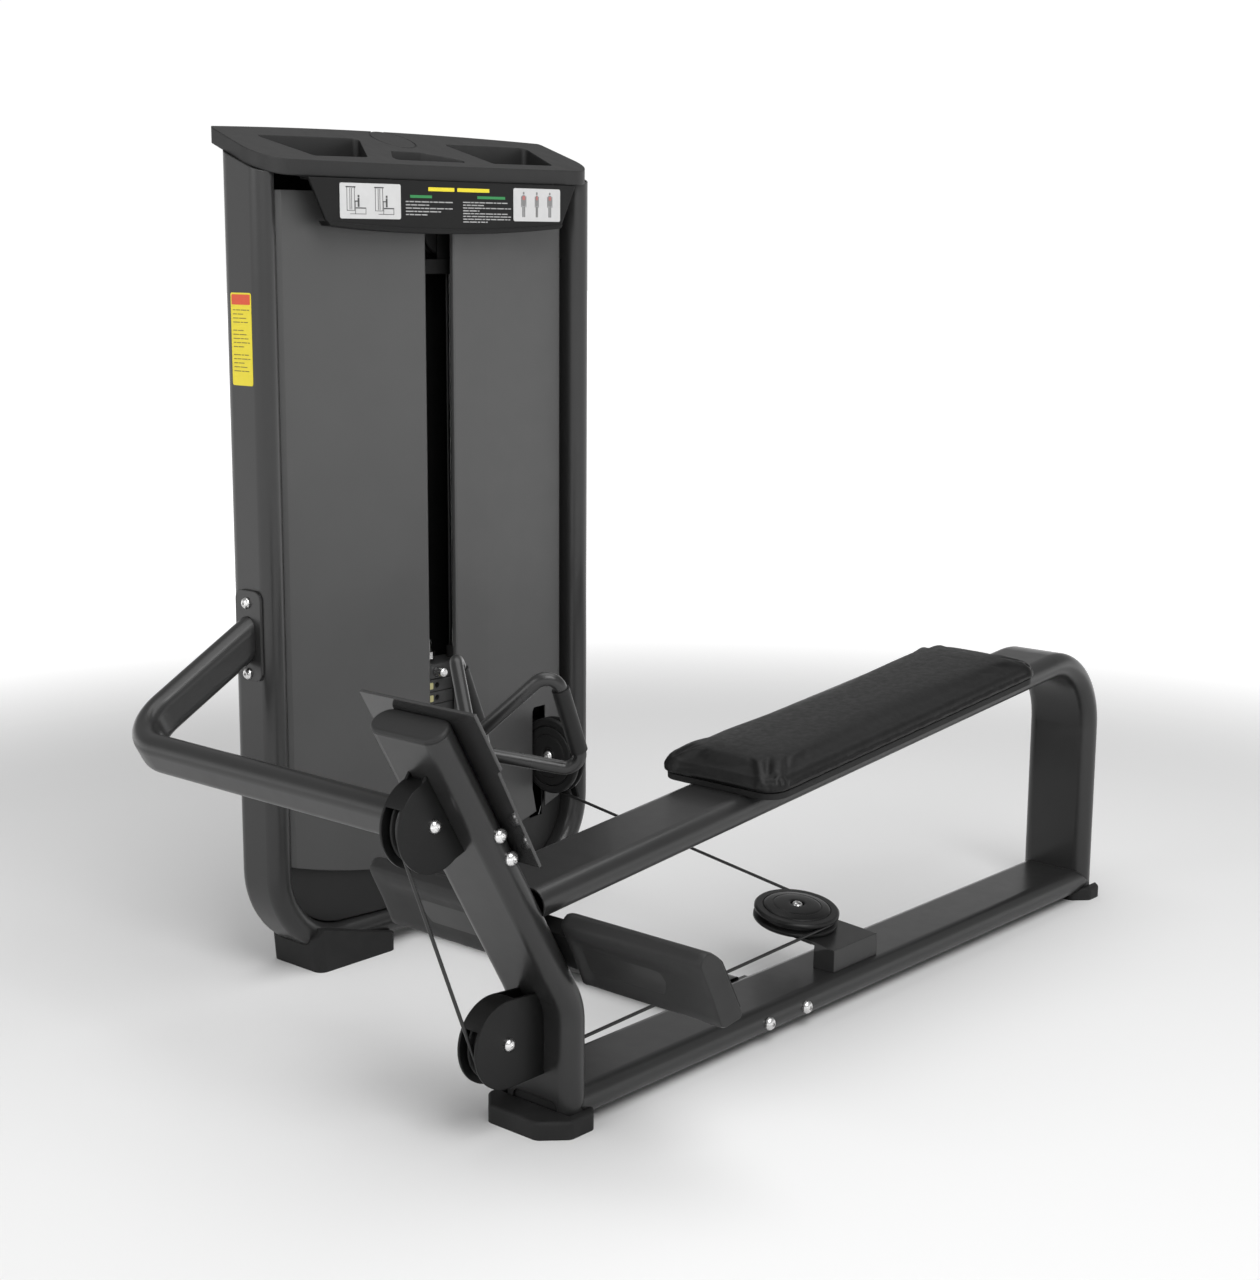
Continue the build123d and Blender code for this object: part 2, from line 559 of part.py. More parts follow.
def tower_pulley_arm():
    """Plate behind the tower's low pulley, from the frame's inside out to the axle."""
    px, pz = TOWER_PULLEY
    y = SIDE_CABLE_Y + BIG_PULLEY_T / 2 + 2
    face = make_face(Polyline((px + 16, y, pz - 14), (px + 16, y, pz + 16), (-866, y, pz + 74),
                              (-866, y, pz - 74), close=True))
    plate = fillet(extrude(face, amount=5, dir=(0, 1, 0)).edges().filter_by(Axis.Y), 10)
    wall_y = TOWER_MID_Y + TOWER_HALF_Y - TOWER_TUBE_T
    foot = Pos(-856, (y + wall_y) / 2, pz) * Box(20, wall_y - y, 110)
    tip_x, tip_z = px + 56, pz - 86
    guide = make_face(Polyline((px + 4, y, pz - 8), (tip_x - 12, y, tip_z - 6), (tip_x, y, tip_z + 2),
                               (px + 16, y, pz + 6), close=True))
    plate += extrude(guide, amount=5, dir=(0, 1, 0))
    plate += foot
    return plate - rod((px, y - 5, pz), (px, y + 12, pz), AXLE_R)


# ---- bench ------------------------------------------------------------------------------
def post_axis_y(z):
    """y of the post's middle line at a height above its bend."""
    return BENCH_TUBE_T / 2 - (z - POST_BEND_Z) * math.tan(POST_LEAN)


POST_DIR = Vector(0, -math.sin(POST_LEAN), math.cos(POST_LEAN))
POST_BACK = Vector(0, math.cos(POST_LEAN), math.sin(POST_LEAN))
POST_TOP = Vector(0, post_axis_y(POST_TOP_Z), POST_TOP_Z)


def post_body(wall):
    points = [(0, BENCH_TUBE_T / 2, POST_FOOT_Z), (0, BENCH_TUBE_T / 2, POST_BEND_Z),
              tuple(POST_TOP)]
    return tube(points, POST_BEND_R, BENCH_TUBE_W, BENCH_TUBE_T, (1, 0, 0), wall)


def front_post():
    post = post_body(WALL)
    y, z = UPPER_PULLEY
    post -= rod((-17, y, z), (17, y, z), POST_PULLEY_RIM + 6)
    post -= rod(PLAN["over"], HUB, 10)
    low_run = PLAN["corners"][1]
    post -= rod(low_run, low_run + PLAN["rise"] * 200, 9)
    for head, tip in holder_bolt_lines():
        post -= rod(head, tip, 5.0)
    notch = fillet((Pos(0, 0, 27) * Box(96, 30, 34)).edges().filter_by(Axis.Y), 12)
    return post - notch


def post_end_cap():
    plane = Plane(origin=POST_TOP, x_dir=(1, 0, 0), z_dir=POST_DIR)
    lid = extrude(plane * SlotOverall(BENCH_TUBE_W, BENCH_TUBE_T), amount=8)
    lid = fillet(lid.edges().group_by(Axis(POST_TOP, POST_DIR))[-1], 5)
    plug = SlotOverall(BENCH_TUBE_W - 2 * WALL - 0.4, BENCH_TUBE_T - 2 * WALL - 0.4)
    return lid + extrude(plane * plug, amount=-22)


def rubber_foot(y_mid, size, y_shift, height):
    """Rubber foot with cut corners, a raised rim and a boss that plugs the tube above it."""
    width, depth = size
    shape = chamfer(Rectangle(width, depth).vertices(), depth * 0.3)
    shape = fillet(shape.vertices(), 16)
    pad = extrude(Pos(0, y_mid + y_shift, 0) * shape, height)
    pad = fillet(pad.faces().sort_by(Axis.Z)[-1].edges(), 6)
    pad -= Pos(0, y_mid, POST_FOOT_Z) * extrude(SlotOverall(BENCH_TUBE_W + 1, BENCH_TUBE_T + 1), height)
    boss = SlotOverall(BENCH_TUBE_W - 2 * WALL - 0.6, BENCH_TUBE_T - 2 * WALL - 0.6)
    pad += Pos(0, y_mid, POST_FOOT_Z) * extrude(boss, 42)
    beam_end = tube([(0, 0, BEAM_Z), (0, REAR_LEG_Y + 60, BEAM_Z)], 0, BENCH_TUBE_W + 1,
                    BENCH_TUBE_T + 1, (1, 0, 0), None)
    keep = Pos(0, y_mid, 0) * extrude(boss, 90)
    below = Pos(0, y_mid, 0) * extrude(SlotOverall(BENCH_TUBE_W + 1, BENCH_TUBE_T + 1), 90)
    return pad - (beam_end - below) - (beam_end & (below - keep))


def seat_line(y):
    return SEAT_Z0 + SEAT_SLOPE * y


def seat_body(wall):
    start_y = -55.0
    points = [(0, start_y, seat_line(start_y)), (0, REAR_LEG_Y, seat_line(REAR_LEG_Y)),
              (0, REAR_LEG_Y, POST_FOOT_Z)]
    return tube(points, SEAT_BEND_R, BENCH_TUBE_W, BENCH_TUBE_T, (1, 0, 0), wall)


def lower_beam():
    mid = BENCH_TUBE_T / 2
    body = tube([(0, mid, BEAM_Z), (0, REAR_LEG_Y, BEAM_Z)], 0, BENCH_TUBE_W, BENCH_TUBE_T, (1, 0, 0))
    rear = tube([(0, REAR_LEG_Y, 5), (0, REAR_LEG_Y, 300)], 0, BENCH_TUBE_W, BENCH_TUBE_T,
                (1, 0, 0), None)
    front = tube([(0, mid, 5), (0, mid, 300)], 0, BENCH_TUBE_W, BENCH_TUBE_T, (1, 0, 0), None)
    body = body - rear - front
    for y in beam_bolt_places():
        body -= rod((-80, y, BEAM_Z), (80, y, BEAM_Z), AXLE_R)
    return body


def seat_slab(plane_offset, y0, y1, width, thick, corner):
    """Slab that lies on the seat tube's top, plane_offset above it."""
    lean = math.atan(SEAT_SLOPE)
    up = Vector(0, -math.sin(lean), math.cos(lean))
    base = Vector(0, (y0 + y1) / 2, seat_line((y0 + y1) / 2)) + up * (BENCH_TUBE_T / 2 + plane_offset)
    plane = Plane(origin=base, x_dir=(1, 0, 0), z_dir=up)
    length = (y1 - y0) / math.cos(lean)
    return extrude(plane * RectangleRounded(width, length, corner), amount=thick)


def seat_bolt_lines():
    """Start and end of each bolt that clamps the seat board to the seat tube."""
    lean = math.atan(SEAT_SLOPE)
    up = Vector(0, -math.sin(lean), math.cos(lean))
    lines = []
    for y in (560, 840, 1120):
        for x in (-30, 30):
            tip = Vector(x, y, seat_line(y)) + up * (BENCH_TUBE_T / 2 + 7)
            lines.append((tip - up * (BENCH_TUBE_T + 7), tip))
    return lines


def seat_bolts():
    return [dome_bolt(head, tip, 4.0, 8.0, 5.0, nut=False) for head, tip in seat_bolt_lines()]


def drill(shape, lines, radius):
    """Cut a round hole along each line."""
    for head, tip in lines:
        shape -= rod(head, tip, radius)
    return shape


# ---- foot rests -------------------------------------------------------------------------
REST_OUTLINE = [(23, 242), (-27, 346), (-15, 366), (2, 362), (21, 346), (73, 250), (68, 243),
                (33, 238)]
BAR_HALF_T = 16.0
BAR_HALF_H = 34.0


def rest_bar_box(length, grow=0.0):
    """Rectangular bar behind the post, parallel to the foot plates."""
    lean = math.atan2(50, 104)
    centre = Vector(0, 21, 302)
    plane = Plane(origin=centre, x_dir=(1, 0, 0), z_dir=(0, -math.sin(lean), math.cos(lean)))
    box = Box(length, 2 * (BAR_HALF_T + grow), 2 * (BAR_HALF_H + grow))
    return plane * box


def foot_rest_bar():
    outer = rest_bar_box(2 * REST_HALF - 20)
    return outer - rest_bar_box(2 * REST_HALF + 20, -3.0) - post_body(None)


def foot_rest(side):
    """Hollow foot block on one end of the bar, with a rolled lip along its front top edge."""
    x0, x1 = sorted((side * REST_INNER, side * REST_HALF))
    block = yz_prism(REST_OUTLINE, x0, x1)
    block = fillet(block.edges().filter_by(lambda e: abs(e.tangent_at(0.5).X) > 0.9
                                           and e.center().Z > 340), 5.5)
    recess_x0, recess_x1 = sorted((side * (REST_INNER + 14), side * (REST_HALF - 26)))
    recess = yz_prism([(30, 262), (-9, 339), (-40, 322), (0, 240)], recess_x0, recess_x1)
    recess = fillet(recess.edges().filter_by(lambda e: abs(e.tangent_at(0.5).X) < 0.5
                                             and abs(e.tangent_at(0.5).Y) > 0.7), 5)
    drop = Vector(0, -0.9, -0.434) * 27.0
    block -= Pos(drop.X, drop.Y, drop.Z) * Pos(0, 18, 8.7) * recess
    return block - rest_bar_box(2 * REST_HALF - 19)


def rest_tread(side):
    """Ribbed rubber tread on the user's side of a foot block."""
    lean = math.atan2(52, 96)
    x_mid = side * (REST_INNER + REST_HALF) / 2
    length = REST_HALF - REST_INNER - 8
    face_mid = Vector(x_mid, 47, 298)
    out = Vector(0, math.cos(lean), math.sin(lean))
    plane = Plane(origin=face_mid, x_dir=(1, 0, 0), z_dir=out)
    tread = extrude(plane * RectangleRounded(length, 104, 8), amount=6)
    for i in range(-4, 5):
        groove = Plane(origin=face_mid + out * 6, x_dir=(1, 0, 0), z_dir=out)
        tread -= extrude(groove * Pos(0, i * 11) * RectangleRounded(length - 16, 3.4, 1.5), amount=-2.5)
    return tread


# ---- post fittings ----------------------------------------------------------------------
def slope_point(x, s, back):
    """Point on the leaning post: s up its middle line from the bend, back behind that line."""
    origin = Vector(0, BENCH_TUBE_T / 2, POST_BEND_Z)
    p = origin + POST_DIR * s + POST_BACK * back
    return Vector(x, p.Y, p.Z)


def holder_plate():
    """Wide plate behind the leaning post that the handle rests against."""
    low, step, high = 287.0, 479.0, 584.0
    plane = Plane(origin=slope_point(0, 0, BENCH_TUBE_T / 2), x_dir=(-1, 0, 0), z_dir=POST_BACK)
    edge = Polyline((-104, low), (104, low), (112, step - 4), (120, step + 2), (120, high),
                    (-120, high), (-120, step + 2), (-112, step - 4), close=True)
    plate = extrude(plane * make_face(edge), amount=5)
    for x in (-40, 40):
        plate += plane * Pos(x, low + 30, 10) * Box(8, 50, 10)
    return plate - rod(PLAN["over"], HUB, 10)


def holder_bolt_lines():
    """Start and end of the bolts through the post that hold the connecting tube."""
    return [(slope_point(BENCH_TUBE_W / 2, s, 6), slope_point(4 - BENCH_TUBE_W / 2, s, 6))
            for s in (316.0, 362.0)]


def holder_bolts():
    return [dome_bolt(head, tip, 5.0, 11.5, 9.0, nut=False) for head, tip in holder_bolt_lines()]


def guard(centre, joins, strap_from, strap_to):
    """Two side plates and a strap round the front of a post pulley, welded to the post."""
    cy, cz = centre
    disc = Pos(0, cy, cz) * (Plane.YZ * Circle(GUARD_R))
    web = make_face(Polyline(*[(0, y, z) for y, z in joins], close=True))
    sheet = disc + web
    plates = []
    for side in (-1, 1):
        x = side * (GUARD_HALF - GUARD_T / 2)
        plates.append(Pos(x - GUARD_T / 2, 0, 0) * extrude(sheet, amount=GUARD_T, dir=(1, 0, 0)))
    ring = Circle(GUARD_R) - Circle(GUARD_R - 3.5)
    span = 2 * (GUARD_HALF - GUARD_T)
    a0, a1 = math.radians(strap_from), math.radians(strap_to)
    steps = 8
    fan = [(0, 0)] + [(1.4 * GUARD_R * math.cos(a0 + (a1 - a0) * i / steps),
                       1.4 * GUARD_R * math.sin(a0 + (a1 - a0) * i / steps))
                      for i in range(steps + 1)]
    wedge = make_face(Polyline(*fan, close=True))
    strap = extrude(Plane.YZ * (ring & wedge), amount=span / 2, both=True)
    plates.append(Pos(0, cy, cz) * strap)
    body = plates[0] + plates[1] + plates[2]
    body -= rod((-40, cy, cz), (40, cy, cz), AXLE_R)
    return body - post_body(None)


def post_pulley(centre):
    return grooved_pulley((0, *centre), (1, 0, 0), POST_PULLEY_R, POST_PULLEY_RIM, POST_PULLEY_T)


def pulley_bolt(centre):
    y, z = centre
    return dome_bolt((GUARD_HALF, y, z), (-GUARD_HALF - 12, y, z), AXLE_R, 10.5, 8.0)


# ---- the turning pulley on the lower beam ------------------------------------------------
def turning_bracket():
    """Bent wedge on the beam whose sloping top carries the level pulley."""
    n = TURN_AXIS
    seat = TURN_CENTRE - n * (BIG_PULLEY_T / 2 + 2)
    top = BEAM_Z + BENCH_TUBE_T / 2
    slope = -n.X / n.Z
    def roof(x):
        return seat.Z + (x - seat.X) * slope
    y0, y1 = 712.0, 878.0
    inner, outer = -112.0, 50.0
    face = make_face(Polyline((outer, y0, top), (outer, y0, roof(outer)), (inner, y0, roof(inner)),
                              (inner, y0, roof(inner) - 6), (outer - 44, y0, roof(outer - 44) - 6),
                              (outer - 44, y0, top), close=True))
    body = extrude(face, amount=y1 - y0, dir=(0, 1, 0))
    keep = [(outer + 5, y0 + 22), (outer + 5, y1 - 8), (-64, y1 - 28), (inner - 4, 810),
            (inner - 4, 748), (-64, 726)]
    body &= xy_prism(keep, 40, 220)
    body -= Pos(outer - 24, (y0 + y1) / 2 + 20, top + 9) * Box(26, y1 - y0 - 90, 20)
    body -= yz_prism([(y0 + 14, top + 6), (y0 + 56, 300), (y0 - 30, 300), (y0 - 30, top + 6)], 0, 90)
    return body - rod(seat - n * 30, seat + n * 30, AXLE_R)


def turning_pulley():
    return grooved_pulley(TURN_CENTRE, TURN_AXIS, BIG_PULLEY_R, BIG_PULLEY_RIM, BIG_PULLEY_T, 3.0)


def turning_bolt():
    n = TURN_AXIS
    head = TURN_CENTRE + n * (BIG_PULLEY_T / 2 + 1)
    return dome_bolt(head, TURN_CENTRE - n * (BIG_PULLEY_T / 2 + 20), AXLE_R, 10.5, 8.0)


# ---- links between tower and bench -------------------------------------------------------
def connecting_tube():
    start_x = TOWER_X
    y0, z0 = LINK_TOP
    y1, z1 = LINK_LOW
    leg = Vector(0, y1 - y0, z1 - z0).normalized()
    wide = leg.cross(Vector(1, 0, 0)).normalized()
    start = (start_x, y0 + 10, z0 + 10 * (z0 - z1) / (y0 - y1))
    points = [start, (start_x, y1, z1), (-40, y1, z1)]
    body = tube(points, LINK_BEND_R, LINK_W, LINK_T, wide)
    body -= Pos(start_x, y0 - 6 + 50, z0) * Box(200, 100, 300)
    return body - post_body(None)


def connecting_flange():
    y0, z0 = LINK_TOP
    plate = Pos(TOWER_X + 3, y0 - 3, z0 + 3) * Box(70, 6, 167)
    plate = fillet(plate.edges().filter_by(Axis.Y), 18)
    return drill(plate, flange_bolt_lines(), AXLE_R)


def flange_bolt_lines():
    """Start and end of the two bolts that fix the connecting tube's flange to the tower."""
    y0, z0 = LINK_TOP
    return [((TOWER_X, y0 - 6, z0 + dz), (TOWER_X, y0 + 14, z0 + dz)) for dz in (-68, 63)]


def connecting_bolts():
    return [dome_bolt(head, tip, AXLE_R, 10.5, 8.0, nut=False) for head, tip in flange_bolt_lines()]


def cross_beam():
    x0 = TOWER_X + 10
    body = tube([(x0, CROSS_BEAM_Y, BEAM_Z), (0, CROSS_BEAM_Y, BEAM_Z)], 0, CROSS_BEAM_W,
                BENCH_TUBE_T, (0, 1, 0))
    low = TOWER_FLOOR_GAP + TOWER_TUBE_T / 2
    tower = tube([(TOWER_X, 300, low), (TOWER_X, 800, low)], 0, TOWER_TUBE_W, TOWER_TUBE_T,
                 (1, 0, 0), None)
    bench = tube([(0, 300, BEAM_Z), (0, 800, BEAM_Z)], 0, BENCH_TUBE_W + 12, BENCH_TUBE_T + 12,
                 (1, 0, 0), None)
    body = body - tower - bench
    lug = Pos(-72, CROSS_BEAM_Y, BEAM_Z) * Box(14, 150, 34)
    lug -= tube([(0, 300, BEAM_Z), (0, 800, BEAM_Z)], 0, BENCH_TUBE_W, BENCH_TUBE_T, (1, 0, 0), None)
    body = body + (lug - body)
    for y in beam_bolt_places():
        body -= rod((-110, y, BEAM_Z), (-50, y, BEAM_Z), AXLE_R)
    return body


def cross_beam_bolts():
    return [dome_bolt((BENCH_TUBE_W / 2, y, BEAM_Z), (-BENCH_TUBE_W / 2 - 3, y, BEAM_Z), AXLE_R,
                      11.5, 10.0, nut=False) for y in beam_bolt_places()]


def beam_bolt_places():
    return [CROSS_BEAM_Y - 51, CROSS_BEAM_Y + 57]


# ---- handle -----------------------------------------------------------------------------
SIDEWAYS = Vector(1, 0, 0)
GRIP_DIR = Vector(0, -math.sin(PULL_TILT), math.cos(PULL_TILT))


def handle_corner(side, up):
    out = PULL * math.cos(HANDLE_SPREAD) + SIDEWAYS * (side * math.sin(HANDLE_SPREAD))
    return HUB + out * HANDLE_REACH + GRIP_DIR * (up * HANDLE_HALF_GRIP)


def row_handle():
    """Two triangular loops that spread from one hub, as on a close-grip rowing handle."""
    body = rod(HUB - GRIP_DIR * 21, HUB + GRIP_DIR * 21, 15)
    for side in (-1, 1):
        top, bottom = handle_corner(side, 1), handle_corner(side, -1)
        path = FilletPolyline(HUB + GRIP_DIR * 10, top, bottom, HUB - GRIP_DIR * 10, radius=22)
        body += sweep(Plane(origin=path @ 0, z_dir=path % 0) * Circle(HANDLE_TUBE_R), path=path)
    return body - rod(HUB - SIDEWAYS * 30, HUB + SIDEWAYS * 30, 5.3)


def handle_grips():
    grips = []
    for side in (-1, 1):
        top, bottom = handle_corner(side, 0.585), handle_corner(side, -0.585)
        grips.append(rod(top, bottom, GRIP_R) - rod(top, bottom, HANDLE_TUBE_R))
    return grips


def cable_stop():
    """Rubber ball and steel socket at the cable's end."""
    ball = Plane(origin=HUB - PULL * 40, z_dir=PULL) * Sphere(14)
    body = ball + rod(HUB - PULL * 40, HUB - PULL * 25, 7)
    return body - rod(HUB - PULL * 70, HUB - PULL * 34, CABLE_R)


def handle_fork():
    """Fork that turns on the cable's socket and pins through the handle's hub."""
    body = rod(HUB - SIDEWAYS * 24, HUB + SIDEWAYS * 24, 5)
    yoke = Plane(origin=HUB - PULL * 22.5, x_dir=PULL, z_dir=SIDEWAYS)
    body += yoke * Box(4, 18, 42)
    for side in (-1, 1):
        ear = Plane(origin=HUB + SIDEWAYS * (side * 19), x_dir=PULL, z_dir=SIDEWAYS)
        body += ear * Pos(-8, 0, 0) * Box(33, 18, 4)
    return body


# ---- all pieces -------------------------------------------------------------------------
def build():
    low_bar, high_bar = crossbars()
    pulley_side, pulley_centre = top_pulleys()
    y, z = UPPER_PULLEY
    ly, lz = LOWER_PULLEY
    nodes = {
        "tower_frame": drill(tower_frame(), flange_bolt_lines(), AXLE_R + 0.2),
        "tower_foot_front": tower_foot(-1),
        "tower_foot_rear": tower_foot(1),
        "top_cap": top_cap(),
        "placard": placard(),
        "instruction_panels": instruction_panels(),
        "shroud_front_left": shroud(-1),
        "shroud_front_right": shroud(1),
        "shroud_rear": rear_shroud(),
        "lower_cover": lower_cover(),
        "rod_bar_low": low_bar,
        "rod_bar_high": high_bar,
        "guide_rods": guide_rods(),
        "stack_bumpers": stack_bumpers(),
        "weight_plates": weight_plates(),
        "head_plate": head_plate(),
        "selector_stem": selector_stem(),
        "selector_pin": selector_pin(),
        "top_pulley_side": pulley_side,
        "top_pulley_centre": pulley_centre,
        "top_pulley_hangers": top_pulley_hangers(),
        "top_pulley_bolts": top_pulley_bolts(),
        "tower_pulley": grooved_pulley((TOWER_PULLEY[0], SIDE_CABLE_Y, TOWER_PULLEY[1]), (0, -1, 0),
                                       BIG_PULLEY_R, BIG_PULLEY_RIM, BIG_PULLEY_T, 3.0),
        "tower_pulley_arm": tower_pulley_arm(),
        "tower_pulley_bolt": dome_bolt((TOWER_PULLEY[0], SIDE_CABLE_Y - BIG_PULLEY_T / 2 - 1,
                                        TOWER_PULLEY[1]),
                                       (TOWER_PULLEY[0], SIDE_CABLE_Y + 34, TOWER_PULLEY[1])),
        "front_post": front_post(),
        "post_end_cap": post_end_cap(),
        "front_foot": rubber_foot(BENCH_TUBE_T / 2, (182, 130), -12, 30),
        "rear_foot": rubber_foot(REAR_LEG_Y, (176, 96), 6, 26),
        "lower_beam": lower_beam(),
        "seat_frame": drill(seat_body(WALL) - post_body(None), seat_bolt_lines(), 4.2),
        "seat_board": drill(seat_slab(0, PAD_FRONT_Y + 8, PAD_REAR_Y - 8, PAD_W - 16, BOARD_T, 36),
                            seat_bolt_lines(), 4.2),
        "seat_pad": seat_slab(BOARD_T + 0.3, PAD_FRONT_Y, PAD_REAR_Y, PAD_W, PAD_T, 42),
        "seat_bolts": Compound(children=seat_bolts()),
        "foot_rest_bar": foot_rest_bar(),
        "foot_rest_left": foot_rest(-1),
        "foot_rest_right": foot_rest(1),
        "rest_tread_left": rest_tread(-1),
        "rest_tread_right": rest_tread(1),
        "holder_plate": holder_plate(),
        "holder_bolts": Compound(children=holder_bolts()),
        "upper_guard": guard(UPPER_PULLEY, [(y - 22, z + 67), (-221, 644), (-212, 610), (-140, 486),
                                            (-166, 486), (y + 8, z - 70)], 62, 150),
        "upper_pulley": post_pulley(UPPER_PULLEY),
        "upper_pulley_bolt": pulley_bolt(UPPER_PULLEY),
        "lower_guard": guard(LOWER_PULLEY, [(ly + 4, lz + 71), (10, lz + 64), (10, lz - 71),
                                            (ly, lz - 71)], 75, 150),
        "lower_pulley": post_pulley(LOWER_PULLEY),
        "lower_pulley_bolt": pulley_bolt(LOWER_PULLEY),
        "turning_bracket": turning_bracket(),
        "turning_pulley": turning_pulley(),
        "turning_pulley_bolt": turning_bolt(),
        "connecting_tube": connecting_tube(),
        "connecting_flange": connecting_flange(),
        "connecting_bolts": Compound(children=connecting_bolts()),
        "cross_beam": cross_beam(),
        "cross_beam_bolts": Compound(children=cross_beam_bolts()),
        "row_handle": row_handle(),
        "handle_grips": Compound(children=handle_grips()),
        "cable_stop": cable_stop(),
        "handle_fork": handle_fork(),
    }
    nodes.update(cables())
    return nodes


if __name__ == "__main__":
    os.makedirs("parts", exist_ok=True)
    for name, shape in build().items():
        export_step(place(shape), "parts/" + name + ".step")
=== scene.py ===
"""Looks of the seated cable row: materials, seat cushion, taut cable runs, labels, light and camera."""
import json
import math

import bpy
from mathutils import Matrix, Vector


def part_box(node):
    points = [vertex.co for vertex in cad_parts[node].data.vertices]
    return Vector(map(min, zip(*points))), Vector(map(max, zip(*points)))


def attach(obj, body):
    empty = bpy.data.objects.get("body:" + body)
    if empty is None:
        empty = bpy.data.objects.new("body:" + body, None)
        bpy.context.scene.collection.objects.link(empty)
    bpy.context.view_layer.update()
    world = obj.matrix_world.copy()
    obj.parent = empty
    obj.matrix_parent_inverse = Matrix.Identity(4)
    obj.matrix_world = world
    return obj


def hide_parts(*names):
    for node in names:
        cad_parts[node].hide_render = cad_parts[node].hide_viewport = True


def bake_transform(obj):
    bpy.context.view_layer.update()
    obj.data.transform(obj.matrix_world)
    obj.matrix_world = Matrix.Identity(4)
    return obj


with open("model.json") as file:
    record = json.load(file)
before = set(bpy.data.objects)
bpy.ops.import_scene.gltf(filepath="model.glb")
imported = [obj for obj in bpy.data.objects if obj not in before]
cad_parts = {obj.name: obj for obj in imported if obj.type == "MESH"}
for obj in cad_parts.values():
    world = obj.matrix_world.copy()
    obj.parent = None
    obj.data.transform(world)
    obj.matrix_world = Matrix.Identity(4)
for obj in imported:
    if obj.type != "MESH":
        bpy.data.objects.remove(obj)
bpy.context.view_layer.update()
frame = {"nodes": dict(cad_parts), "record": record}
nodes = frame["nodes"]

# ---- places and sizes, in metres ---------------------------------------------------------
SEAT_TILT = math.atan(0.0925)          # the seat rises towards the rear
PAD_THICK = 0.043
PAD_CORNER = 0.042
PULL_TILT = math.radians(22.0)         # the cable to the handle rises towards the user
CABLE_RADIUS = 0.003
REAR_SPLIT = 0.0040                    # from the rear panel's outermost face to inside its sheet
PRINT_RAISE = 0.0004                   # of labels over what they lie on
STICKER_LOW, STICKER_TALL, STICKER_WIDE = 1.112, 0.164, 0.057
STICKER_IN = 0.027                     # from the tower frame's rear face
STICKER_EDGE = 0.003                   # from the sheet's edge to its head
STICKER_ROWS, STICKER_PITCH = 17, 0.0072
PLATE_COUNT, PLATE_GAP, PLATE_SQUARE = 15, 0.0008, 0.013
WORD_GAP = 0.0022
BIG_PULLEY_WIDE = 0.028
COVER_RADIUS = 0.063
TURN_AXIS = (0.1425, -0.0302, 0.9893)  # the level pulley's axis
CAMERA_PLACE = Vector((2.4515, -2.9273, 1.372))
CAMERA_TURN = math.radians(41.215)     # towards -X from +Y
CAMERA_DIP = math.radians(10.841)
CAMERA_ROLL = math.radians(0.387)
CAMERA_LENS = 58.71                    # on a 36 mm sensor along the picture's longer side


def middle(name):
    low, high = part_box(name)
    return (Vector(low) + Vector(high)) / 2


# ---- materials ---------------------------------------------------------------------------
def grey(value, warm=0.0):
    return (value * (1 + warm), value, value * (1 - warm), 1.0)


